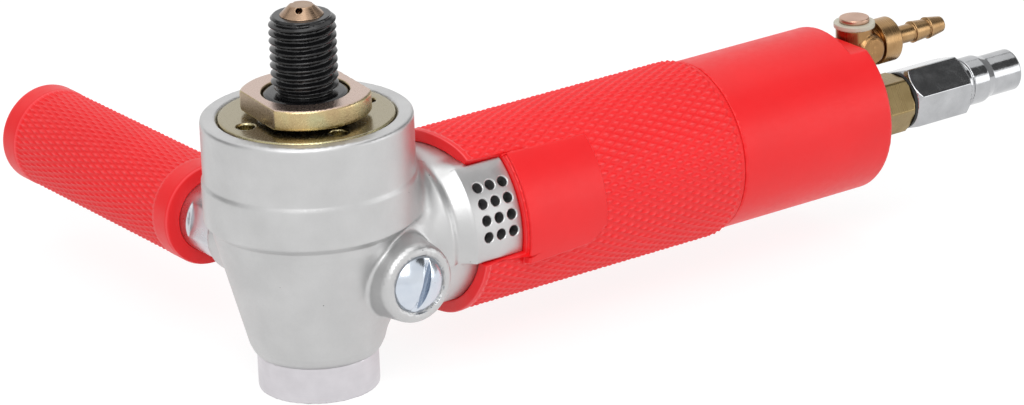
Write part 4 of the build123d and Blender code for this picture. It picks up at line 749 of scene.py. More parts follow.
# The cover's film is thicker: an even olive gold, with a darker painted reflection on its top
OLIVE_ZINC = YellowZinc("steel_olive_zinc_plated", "#AFA480", "#A6966E", 0.22, 1.0, top="#A0977E", grit=0.006)
# Oiled black oxide: almost black, with a clear shine along the thread's crests
BLACK_OXIDE = Grained("steel_black_oxide_oiled", "#121214", "#0A0A0B", 0.17, 0.0, cloud=3.0)
# Turned brass that has browned to a copper tone
COPPERY_BRASS = TurnedMetal("brass_turned_coppery", "#B39880", "#9E826B", 0.26, 1.0, depth=0.005)
# Turned brass that handling has darkened to a rosy brown
ROSY_BRASS = TurnedMetal("brass_turned_rosy", "#C9A690", "#B8937E", 0.3, 1.0, depth=0.005)
# Turned brass of the barb, golden brown
GOLDEN_BRASS = TurnedMetal("brass_turned_golden", "#B8966C", "#A07E56", 0.3, 1.0, axis=Axis.X, depth=0.006)
# Turned brass of the valve body, browner and darker than the barb's
BROWN_BRASS = TurnedMetal("brass_turned_browner", "#A88258", "#8C6A46", 0.3, 1.0, axis=Axis.X, depth=0.006)
# Drawn brass bar, greener and duller
OLIVE_BRASS = TurnedMetal("brass_drawn_hexagon", "#A08C64", "#8A7650", 0.32, 1.0, axis=Axis.X, depth=0.006)
# Moulded polypropylene: strong red, semi-matt, with a broad soft shine
RED_PLASTIC = Grained("polypropylene_moulded_red", "#F91A20", "#F3181E", 0.42, 0.0)
# Chrome plating: mirror-like and cold, with a few specks
CHROME = PlatedMetal("steel_chrome_plated", "#BEBFC1", "#ACADAF", 0.13, 1.0)
# Bright zinc plating: paler and softer than chrome, so it blurs the red beside it
BRIGHT_ZINC = PlatedMetal("steel_bright_zinc_plated", "#DADADE", "#C8C8CC", 0.3, 1.0)
# Zinc plating: a soft mirror, with a cold blue tint that is a painted reflection
ZINC_BLUE_REFLECTION = PlatedMetal("steel_zinc_plated_blue_reflection", "#D6DCE4", "#C6CED9", 0.19, 1.0)
# Natural nylon: off-white and waxy
NYLON = Grained("nylon_natural_moulded", "#CFCBBA", "#C2BDAB", 0.4, 0.0)
# Moulded nitrile rubber: dull black
RUBBER = Grained("nitrile_rubber_moulded", "#1B1B1B", "#131313", 0.55, 0.0)
# Ground bearing rings and balls: bright and clean
BEARING_STEEL = Grained("bearing_steel_ground", "#C2C4C6", "#B2B4B7", 0.18, 1.0, grain=0.2)
# Cut gear steel: grey with a fine tooth mark
GEAR_STEEL = Grained("gear_steel_milled", "#9A9B9D", "#858689", 0.32, 1.0, grain=0.25)
# Tempered spring steel: dark with a blue cast
SPRING_STEEL = Grained("spring_steel_tempered", "#5C5E66", "#484A52", 0.34, 1.0, grain=0.2)
# Honed iron: mid grey and dull
GREY_IRON = Grained("grey_iron_honed", "#8A8A8A", "#767676", 0.4, 1.0, grain=0.3)
# Pressed phenolic cloth: brown with a woven grain
VANE_RESIN = Grained("phenolic_cloth_pressed", "#6A4A2C", "#573B22", 0.5, 0.0, grain=0.6)
# Pressed wool felt: dark, fibrous and without shine
FELT = Grained("wool_felt_pressed", "#4A4A4C", "#3A3A3C", 0.95, 0.0, grain=0.3, depth=0.1)

SLOT_FINISHES = {
    "cast_aluminium": CAST_ALUMINIUM,
    "machined_aluminium": TURNED_ALUMINIUM,
    "yellow_zinc_steel": YELLOW_ZINC,
    "black_steel": BLACK_OXIDE,
    "brass": GOLDEN_BRASS,
    "red_plastic": RED_PLASTIC,
    "chrome_steel": CHROME,
    "nylon": NYLON,
    "black_rubber": RUBBER,
    "bearing_steel": BEARING_STEEL,
    "gear_steel": GEAR_STEEL,
    "spring_steel": SPRING_STEEL,
    "cylinder_iron": GREY_IRON,
    "vane_resin": VANE_RESIN,
    "felt": FELT,
}


def dress_nodes() -> None:
    """Give every CAD node the finish of its slot."""
    for name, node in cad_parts.items():
        for slot in node.material_slots:
            slot.material = SLOT_FINISHES[slot.material.name].material()
        LOG.info("%s keeps its shape", name)


# Making pieces


def make_piece(name: str, points: Points, quads: np.ndarray, facing: Points | None = None) -> Piece:
    """Link a smooth mesh object.

    Args:
        name: The piece's name.
        points: Vertices in millimetres.
        quads: Four vertex numbers per face.
        facing: The surface's direction at each vertex, where it is known.

    Returns:
        The new object.
    """
    mesh = bpy.data.meshes.new(name)
    mesh.vertices.add(len(points))
    mesh.vertices.foreach_set("co", (points * MM).astype(np.float32).ravel())
    mesh.loops.add(quads.size)
    mesh.loops.foreach_set("vertex_index", quads.astype(np.int32).ravel())
    mesh.polygons.add(len(quads))
    mesh.polygons.foreach_set("loop_start", np.arange(0, quads.size, 4, dtype=np.int32))
    mesh.polygons.foreach_set("use_smooth", np.ones(len(quads), bool))
    mesh.update(calc_edges=True)
    if facing is not None:
        mesh.normals_split_custom_set_from_vertices(facing.astype(np.float32))
    piece = bpy.data.objects.new(name, mesh)
    bpy.context.scene.collection.objects.link(piece)
    return piece


def solid_piece(name: str, form: Field, low: Spot, high: Spot, cell: float, finish: Finish) -> Piece:
    """Skin a field and dress it.

    Args:
        name: The piece's name.
        form: Its field.
        low: Lowest corner of the room that holds it.
        high: Highest corner.
        cell: Size of the grid's cells.
        finish: Its finish.

    Returns:
        The new piece.
    """
    piece = make_piece(name, *skin(form, low, high, cell))
    finish.dress(piece)
    return piece


# Least angle between two faces of a ring piece that shows as an edge, in degrees
SHARP_ANGLE = 26.0


def ring_piece(name: str, rings: list[Points], closed: bool, finish: Finish) -> Piece:
    """Cover rings of points with quads and dress them.

    Args:
        name: The piece's name.
        rings: Rings of equally many points, in order.
        closed: Whether the last ring joins the first; otherwise both ends are filled.
        finish: Its finish.

    Returns:
        The new piece.
    """
    count = len(rings[0])
    first = np.arange(count)
    after = (first + 1) % count
    last = len(rings) if closed else len(rings) - 1
    quads = [
        np.stack([first + a * count, after + a * count, after + b * count, first + b * count], 1)
        for a, b in ((i, (i + 1) % len(rings)) for i in range(last))
    ]
    if not closed:
        strip = np.arange(count // 2 - 1)
        lid = np.stack([strip, count - 1 - strip, count - 2 - strip, strip + 1], 1)
        quads += [lid, lid[:, ::-1] + (len(rings) - 1) * count]
    quads = np.concatenate(quads)
    points = np.concatenate(rings)
    a, b, c, d = (points[quads[:, i]] for i in range(4))
    volume = (np.cross(b - a, c - a) * a).sum() + (np.cross(c - a, d - a) * a).sum()
    piece = make_piece(name, points, quads if volume > 0 else quads[:, ::-1])
    piece.data.set_sharp_from_angle(angle=math.radians(SHARP_ANGLE))
    finish.dress(piece)
    return piece


def tube(
    start: float, stop: float, inner: float, outer: float, height: float
) -> tuple[Points, np.ndarray, Points]:
    """A closed tube along X.

    Args:
        start: Its first end.
        stop: Its last end.
        inner: Inner radius.
        outer: Outer radius.
        height: Height of its axis.

    Returns:
        Vertices, quads and directions.
    """
    count = 96
    turn = np.linspace(0.0, 2 * math.pi, count, endpoint=False)
    ring = np.stack([np.zeros(count), -np.cos(turn), np.sin(turn)], 1)
    corners = ((start, outer), (stop, outer), (stop, inner), (start, inner))
    sides = ((0, 1, ring), (1, 2, [[1.0, 0.0, 0.0]]), (2, 3, -ring), (3, 0, [[-1.0, 0.0, 0.0]]))
    first = np.arange(count)
    after = (first + 1) % count
    points, quads, facing = [], [], []
    for number, (one, other, way) in enumerate(sides):
        for place, radius in (corners[one], corners[other]):
            points.append(ring * radius + np.array([place, 0.0, height]))
            facing.append(np.broadcast_to(way, (count, 3)))
        base = 2 * number * count
        quads.append(np.stack([first + base, first + base + count, after + base + count, after + base], 1))
    return np.concatenate(points), np.concatenate(quads), np.concatenate(facing)


def stand_for(piece: Piece, body: Body, slot: str, *nodes: str) -> Piece:
    """Let a piece ride on a body in place of CAD nodes.

    Args:
        piece: The new piece.
        body: The body that it rides on.
        slot: The record's material slot; not used.
        nodes: The CAD nodes that it stands for.

    Returns:
        The piece.
    """
    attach(piece, body.value)
    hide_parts(*nodes)
    LOG.info("%s: %d faces, for %s", piece.name, len(piece.data.polygons), ", ".join(nodes))
    return piece


# Pieces


HANDLE_Z = middle("rotor", Axis.Z)
SIDE_Z = middle("side_plug", Axis.Z)
INLET_Z = middle("air_plug", Axis.Z)
WATER_Z = middle("hose_barb", Axis.Z)
VALVE_X = middle("water_valve_spool", Axis.X)

# Lines that turned pieces lie on: the axis along them, and their place on the two other axes
SPINDLE_LINE = (Axis.Z, (0.0, 0.0))
HANDLE_LINE = (Axis.X, (0.0, HANDLE_Z))
SIDE_LINE = (Axis.Y, (0.0, SIDE_Z))
INLET_LINE = (Axis.X, (0.0, INLET_Z))
WATER_LINE = (Axis.X, (0.0, WATER_Z))
VALVE_LINE = (Axis.Z, (VALVE_X, 0.0))

# Foot and top of the upper spindle bearing, which the cover holds
UPPER_BEARING_Z = (-22.5, -11.5)


def evenly(first: float, count: int) -> list[float]:
    """Angles spaced evenly round a circle, in radians, from a first one in degrees."""
    return [math.radians(first + 360.0 / count * number) for number in range(count)]


def round_handle(points: Points) -> tuple[Values, Values]:
    """Radius round the handle axis, and angle up from the side that faces -Y, in degrees."""
    up = points[:, 2] - HANDLE_Z
    return np.hypot(points[:, 1], up), np.degrees(np.arctan2(up, -points[:, 1]))


@dataclass
class GearHead:
    """Casting of gear head, neck, motor barrel and bosses, with the pieces in its mouth, foot and flank.

    Places are along the spindle, the handle or a boss, and angles are round the handle in degrees. The
    outline of a round, band or shoulder holds offsets from the place and radius where it lies.
    """

    # Outside of the head
    rim_z: float = span("housing", Axis.Z)[1]
    rim_round: Outline = ((-0.9, -0.4), (-0.25, -0.65), (0.0, -1.3))
    head_r: float = 25.8
    seam_z: float = -21.5
    seam_band: Outline = ((0.0, 0.0), (1.1, -0.4))
    skirt_z: float = -31.6
    skirt_round: Outline = ((-1.2, -1.9), (0.6, -0.05))
    cone_top: Pair = (-35.0, 23.6)
    cone_foot_r: float = 15.75
    foot_z: float = span("housing", Axis.Z)[0]
    foot_round: Outline = ((0.0, -0.85), (0.9, -0.15), (2.6, 0.65))
    corner_round: float = 0.3
    # Neck and barrel, which run together with the head
    neck_r: float = 15.2
    neck_shoulder: Outline = ((-3.0, -0.5), (0.0, 0.0))
    neck_round: float = 1.5
    neck_blend: float = 5.0
    barrel_r: float = 19.7
    barrel_end: float = span("housing", Axis.X)[1]
    fine_end_x: float = 50.0
    # Boss of the side handle's stud: radius and face
    stud_boss: Pair = (10.2, 31.4)
    stud_boss_draft: float = 0.6
    stud_boss_edge: float = 0.4
    stud_blend: float = 3.0
    # Spare boss: radius and face, then length and widening of its drafted side
    plug_x: float = 11.6
    plug_z: float = SIDE_Z + 0.5
    plug_boss: Pair = (9.6, -27.85)
    plug_boss_draft: Pair = (16.0, 1.8)
    plug_boss_edge: float = 2.1
    plug_blend: float = 1.0
    # Ridge on the neck, the dip behind it and the ramp up to the exhaust pad, with the cosine of its slope
    ridge_x: float = 26.9
    ridge_r: float = 20.35
    ridge_lead: float = 7.0
    lead_rise: float = -1.6
    dip_x: float = 28.6
    dip_rise: float = -0.15
    ramp_lap: float = 0.4
    ramp_bend: float = 0.6
    ramp_cosine: float = 0.8
    top_corner_x: float = 36.5
    corner_lean: float = 0.045
    wall_lap: float = 0.9
    wall_turn: float = 3.0
    flank_edge: float = 0.5
    fade_lead: float = 2.0
    fade_turn: float = 69.0
    # Exhaust pad: its lid, the root under it and its holes
    pad_x: float = 32.5
    pad_end_x: float = 46.2
    pad_r: float = 21.7
    pad_low: float = -12.6
    pad_high: float = 53.6
    pad_sink: float = 0.12
    pad_cell: float = 0.17
    lid_lead: float = 1.5
    lid_slope: float = 0.6
    lid_cosine: float = 0.85
    lid_bend: float = 0.25
    lid_edge: float = 0.35
    lid_sink: float = 0.04
    root_lap: float = 0.4
    root_edge: float = 0.05
    window_inset: float = 1.0
    window_depth: float = 2.0
    felt_r: float = 18.42
    hole_r: float = 1.3
    hole_flare: float = 0.3
    hole_start_r: float = 12.0
    hole_x: tuple[float, ...] = (36.35, 40.0, 43.65)
    hole_turns: tuple[float, ...] = (3.8, 14.8, 25.8, 36.8)
    # Inside of the head, from the cap's seat up to the mouth
    spigot_r: float = 11.0
    ledge_z: float = span("lower_bearing_outer", Axis.Z)[1]
    ledge: float = 1.2
    ledge_r: float = 9.8
    chamber_foot_r: float = 12.5
    chamber_z: float = -37.0
    chamber_r: float = 19.5
    mouth_z: float = span("bearing_cover", Axis.Z)[0]
    mouth_r: float = 21.42
    mouth_chamfer: Pair = (0.7, 0.55)
    mouth_edge: float = 0.25
    # Inside of the neck: the pinion's cone, its end, the front bearing's seat and the motor bore
    pinion_cone: Outline = ((11.0, 6.3), (17.5, 8.95))
    front_bearing_x: Pair = (21.0, 28.0)
    front_bearing_r: float = 11.0
    bore_r: float = 16.5
    stud_thread_r: float = 6.0
    stud_hole: float = 13.0
    casting_cell: float = 0.62
    # Bearing cover
    cover_step: Pair = (1.5, 0.35)
    cover_edge: float = 0.35
    lip_r: float = 11.8
    lip_edge: float = 0.4
    bearing_r: float = 17.5
    ring_groove_r: float = 18.2
    ring_groove_z: float = UPPER_BEARING_Z[0] - 1.22
    pin_r: float = 2.25
    pin_depth: float = 3.0
    pin_edge: float = 0.3
    pin_circle_r: float = 16.1
    pin_turn: float = -6.0
    pin_count: int = 4
    # Bottom cap
    cap_r: float = 14.65
    cap_edge: float = 0.6
    cap_round: float = 0.2
    cap_groove: Pair = (3.0, 1.0)
    cap_groove_r: float = 9.5
    cap_bore_r: float = 5.0
    cap_bore: float = 2.0
    water_seal_r: float = 6.5
    water_seal: float = 4.0
    # Slotted plug in the spare boss
    plug_recess_r: float = 7.3
    plug_recess: float = 0.8
    plug_thread_r: float = 5.0
    plug_hole: float = 9.8
    plug_r: float = 7.15
    plug_seat_y: float = -27.07
    plug_rise: float = 3.4
    plug_edge: float = 0.3
    plug_slot: float = 1.4
    plug_slot_depth: float = 2.7
    plug_slot_lean: float = 0.15
    plug_slot_edge: float = 0.35
    plug_turn: float = -20.0

    def outside(self) -> Field:
        """Field of the casting's outside, up to where the grip hides the barrel."""
        head = Turned(
            *SPINDLE_LINE,
            (
                *moved(self.foot_round, self.foot_z, self.cone_foot_r),
                self.cone_top,
                *moved(self.skirt_round, self.skirt_z, self.head_r),
                *moved(self.seam_band, self.seam_z, self.head_r),
                *moved(self.rim_round, self.rim_z, self.head_r),
            ),
            soften=self.corner_round,
        )
        neck = Turned(
            *HANDLE_LINE,
            (
                (0.0, self.neck_r),
                *moved(self.neck_shoulder, self.ridge_x, self.barrel_r),
                (self.fine_end_x, self.barrel_r),
            ),
            soften=self.neck_round,
        )
        boss_r, face = self.stud_boss
        sides = ((0.0, boss_r + self.stud_boss_draft), (face, boss_r))
        stud = Turned(*SIDE_LINE, sides, edge=self.stud_boss_edge)
        boss_r, face = self.plug_boss
        length, wider = self.plug_boss_draft
        sides = ((face, boss_r), (face + length, boss_r + wider))
        plug = Turned(Axis.Y, (self.plug_x, self.plug_z), sides, edge=self.plug_boss_edge)

        def outer(points: Points) -> Values:
            """Distances from the joined forms."""
            barrel = np.minimum(neck(points), self.exhaust_box(points))
            body = soft_min(head(points), barrel, self.neck_blend)
            body = soft_min(body, stud(points), self.stud_blend)
            return soft_min(body, plug(points), self.plug_blend)

        return outer

    def exhaust_box(self, points: Points) -> Values:
        """Distance to the neck's ridge and the ramp up to the pad, which run out towards the top."""
        radius, turn = round_handle(points)
        pad_rise = self.pad_r - self.pad_sink - self.barrel_r
        start = self.ridge_x - self.ridge_lead
        places = (start, self.ridge_x, self.dip_x, self.pad_x + self.ramp_lap, self.fine_end_x)
        rises = (self.lead_rise, self.ridge_r - self.barrel_r, self.dip_rise, pad_rise, pad_rise)
        slips = np.linspace(-self.ramp_bend, self.ramp_bend, 5)
        rise = sum(np.interp(points[:, 0] + slip, places, rises) for slip in slips) / len(slips)
        shown = 1.0 - ease(turn, self.pad_high - self.fade_lead, self.fade_turn)
        flank = (radius - (self.barrel_r + rise * shown)) * self.ramp_cosine
        flank = soft_max(flank, np.radians(self.pad_low - turn) * radius, self.flank_edge)
        corner = self.top_corner_x - self.corner_lean * (turn - self.pad_high)
        end = np.where(turn < self.pad_high - self.wall_turn, self.pad_x + self.wall_lap, corner)
        flank = np.maximum(flank, points[:, 0] - end)
        flank = np.maximum(flank, start - points[:, 0])
        return np.maximum(flank, np.radians(turn - self.fade_turn) * radius)

    def sector(
        self, points: Points, inner: float, outer: float, inset: float, edge: float, more: float = 0.0
    ) -> Values:
        """Distance to part of a ring round the handle, under or in the exhaust pad.

        Args:
            points: Places to measure from.
            inner: Its inner radius.
            outer: Its outer radius.
            inset: How far it keeps inside the pad's four sides.
            edge: Width over which its outer edges are broken.
            more: Length that it has before the pad's front.

        Returns:
            Distances, below zero inside.
        """
        radius, turn = round_handle(points)
        sweep = np.abs(turn - (self.pad_high + self.pad_low) / 2) - (self.pad_high - self.pad_low) / 2
        sides = np.radians(sweep) * np.minimum(radius, self.pad_r) + inset
        start = self.pad_x - more
        length = np.abs(points[:, 0] - (start + self.pad_end_x) / 2) - (self.pad_end_x - start) / 2
        walls = soft_max(sides, length + inset, edge)
        return np.maximum(soft_max(radius - outer, walls, edge), inner - radius)

    def pad(self) -> Piece:
        """The exhaust pad with its twelve flared holes, set through a window in the barrel."""

        def plate(points: Points) -> Values:
            """Distances from the pad without its holes."""
            inner, inset = self.barrel_r - self.lid_sink, self.window_inset + FIT
            lid = self.sector(points, inner, self.pad_r, 0.0, self.lid_edge, self.lid_lead)
            fall = self.lid_slope * np.maximum(self.pad_x + self.ramp_lap - points[:, 0], 0.0)
            slope = (round_handle(points)[0] - self.pad_r + fall) * self.lid_cosine
            lid = soft_max(lid, slope, self.lid_bend)
            root = self.sector(points, self.felt_r, self.barrel_r + self.root_lap, inset, self.root_edge)
            return np.minimum(lid, root)

        holes = [self.exhaust_hole(place, turn) for place in self.hole_x for turn in self.hole_turns]
        top, foot = math.radians(self.pad_high), math.radians(self.pad_low)
        low = (self.pad_x - self.lid_lead, -self.pad_r, HANDLE_Z + self.pad_r * math.sin(foot))
        high = (self.pad_end_x, -self.felt_r * math.cos(top), HANDLE_Z + self.pad_r * math.sin(top))
        form = less(plate, 0.0, *holes)
        piece = solid_piece("exhaust_pad", form, low, high, self.pad_cell, CAST_ALUMINIUM)
        return stand_for(piece, Body.TOOL, "cast_aluminium", "housing")

    def exhaust_hole(self, place: float, turn: float) -> Field:
        """Field of one exhaust hole, flared at the pad's face.

        Args:
            place: Its place along the handle.
            turn: Its angle round the handle.

        Returns:
            The hole's field.
        """
        start = (place, 0.0, HANDLE_Z)
        way = (0.0, -math.cos(math.radians(turn)), math.sin(math.radians(turn)))

        def hole(points: Points) -> Values:
            """Distances from the hole."""
            out = (points - np.asarray(start)) @ np.asarray(way)
            wall = rod(points, start, way, self.hole_r)
            flare = (wall - out + self.pad_r - self.hole_flare) * math.sqrt(0.5)
            return np.maximum(np.minimum(wall, flare), self.hole_start_r - out)

        return hole

    def hollows(self) -> list[Field]:
        """Fields of the casting's mouth, gear chamber, motor bore, sockets and the window under the pad."""
        ledge_top = self.ledge_z + self.ledge
        chamfer, wider = self.mouth_chamfer
        mouth = (
            *stepped(self.foot_z - PAST, (self.spigot_r + FIT, self.ledge_z), (self.ledge_r, ledge_top)),
            (ledge_top + HAIR, self.chamber_foot_r),
            (self.chamber_z, self.chamber_r),
            (self.mouth_z - HAIR, self.chamber_r),
            (self.mouth_z, self.mouth_r),
            (self.rim_z - chamfer, self.mouth_r),
            (self.rim_z + HAIR, self.mouth_r + wider),
            (self.rim_z + PAST, self.mouth_r + wider),
        )
        cone_start, (cone_end, cone_r) = self.pinion_cone
        seat_start, seat_end = self.front_bearing_x
        seat = (self.front_bearing_r + FIT, seat_end)
        motor = (self.bore_r, self.fine_end_x + PAST)
        bore = (cone_start, *stepped(cone_end, (cone_r, seat_start), seat, motor))
        face = self.plug_boss[1]
        thread = (self.plug_thread_r + FIT, face + self.plug_hole)
        socket = stepped(face - PAST, (self.plug_recess_r, face + self.plug_recess), thread)
        face = self.stud_boss[1]
        stud_hole = stepped(face - self.stud_hole, (self.stud_thread_r + FIT, face + PAST))

        def window(points: Points) -> Values:
            """Distances from the window under the pad."""
            inner = self.bore_r - self.window_depth
            return self.sector(points, inner, self.pad_r, self.window_inset, self.root_edge)

        return [
            Turned(*SPINDLE_LINE, mouth),
            Turned(*HANDLE_LINE, bore),
            Turned(Axis.Y, (self.plug_x, self.plug_z), socket),
            Turned(*SIDE_LINE, stud_hole),
            window,
        ]

    def casting(self) -> Piece:
        """The casting: a fine skin to where the grip hides it, and a plain tube on to its end."""
        shell = less(self.outside(), self.mouth_edge, *self.hollows())

        def form(points: Points) -> Values:
            """Distances from the casting up to the end of its fine skin."""
            return np.maximum(shell(points), points[:, 0] - self.fine_end_x)

        low = (-self.head_r - PAST, self.plug_boss[1] - PAST, self.foot_z - PAST)
        high = (self.fine_end_x, self.stud_boss[1] + PAST, self.rim_z + PAST)
        points, quads, facing = skin(form, low, high, self.casting_cell)
        more, sides, ways = tube(self.fine_end_x, self.barrel_end, self.bore_r, self.barrel_r, HANDLE_Z)
        piece = make_piece(
            "casting",
            np.concatenate([points, more]),
            np.concatenate([quads, sides + len(points)]),
            np.concatenate([facing, ways]),
        )
        CAST_ALUMINIUM.dress(piece)
        return stand_for(piece, Body.TOOL, "cast_aluminium", "housing")

    def cover(self) -> Piece:
        """The bearing cover, with a groove for the snap ring and four pin holes."""
        low, high = room("bearing_cover")
        step_z, step_r = high[2] - self.cover_step[0], high[0] - self.cover_step[1]
        sides = stepped(low[2], (high[0], step_z), (step_r, high[2]))
        disc = Turned(*SPINDLE_LINE, sides, edge=self.cover_edge)
        seat_low, seat_high = UPPER_BEARING_Z
        seat_r, groove_r = self.bearing_r + FIT, self.ring_groove_r + FIT
        seat = ((seat_r, self.ring_groove_z), (groove_r, seat_low), (seat_r, seat_high))
        inside = stepped(low[2] - PAST, *seat, (self.lip_r, high[2] + PAST))
        ring = less(disc, self.lip_edge, Turned(*SPINDLE_LINE, inside))
        circle, turns = self.pin_circle_r, evenly(self.pin_turn, self.pin_count)
        spots = [(circle * math.cos(turn), circle * math.sin(turn), 0.0) for turn in turns]

        def form(points: Points) -> Values:
            """Distances from the ring less its pin holes."""
            distance = ring(points)
            for spot in spots:
                pin = rod(points, spot, (0.0, 0.0, 1.0), self.pin_r)
                pin = np.maximum(pin, high[2] - self.pin_depth - points[:, 2])
                distance = soft_max(distance, -pin, self.pin_edge)
            return distance

        piece = solid_piece("cover", form, low, high, 0.45, OLIVE_ZINC)
        return stand_for(piece, Body.TOOL, "yellow_zinc_steel", "bearing_cover")

    def cap(self) -> Piece:
        """The bottom cap: a bright turned boss on a spigot that holds the water seal."""
        low, high = room("bottom_cap")
        top = high[2]
        groove_low, groove_high = (top - depth for depth in self.cap_groove)
        spigot = ((self.spigot_r, groove_low), (self.cap_groove_r, groove_high), (self.spigot_r, top))
        outline = stepped(low[2], (self.cap_r, self.foot_z), *spigot)
        seal = (self.water_seal_r + FIT, top + PAST)
        inside = stepped(self.foot_z - self.cap_bore, (self.cap_bore_r, top - self.water_seal), seal)
        body = Turned(*SPINDLE_LINE, outline, self.cap_round, self.cap_edge)
        form = less(body, 0.0, Turned(*SPINDLE_LINE, inside))
        piece = solid_piece("cap", form, low, high, 0.45, TURNED_ALUMINIUM)
        return stand_for(piece, Body.TOOL, "machined_aluminium", "bottom_cap")

    def plug(self) -> Piece:
        """The slotted plug in the spare boss."""
        end_y = room("side_plug")[1][1]
        dome_r = (self.plug_r**2 + self.plug_rise**2) / (2 * self.plug_rise)
        top_y = self.plug_seat_y - self.plug_rise
        low = (self.plug_x - self.plug_r, top_y, self.plug_z - self.plug_r)
        high = (self.plug_x + self.plug_r, end_y, self.plug_z + self.plug_r)
        centre = np.array([self.plug_x, top_y + dome_r, self.plug_z])
        sides = stepped(self.plug_seat_y - PAST, (self.plug_thread_r, end_y))
        stem = Turned(Axis.Y, (self.plug_x, self.plug_z), sides, edge=self.plug_edge)
        turn = math.radians(self.plug_turn)
        slot_way = np.array([math.cos(turn), 0.0, math.sin(turn)])

        def form(points: Points) -> Values:
            """Distances from the dome and stem less the slot."""
            dome = np.linalg.norm(points - centre, axis=1) - dome_r
            dome = soft_max(dome, points[:, 1] - self.plug_seat_y, self.plug_edge)
            above = top_y + self.plug_slot_depth - points[:, 1]
            across = np.abs((points - centre) @ slot_way) - self.plug_slot / 2 - self.plug_slot_lean * above
            slot = np.maximum(across, -above)
            return soft_max(np.minimum(dome, stem(points)), -slot, self.plug_slot_edge)

        # The plug's cold blue tint is a painted reflection
        piece = solid_piece("side_plug_screw", form, low, high, 0.25, ZINC_BLUE_REFLECTION)
        return stand_for(piece, Body.TOOL, "chrome_steel", "side_plug")


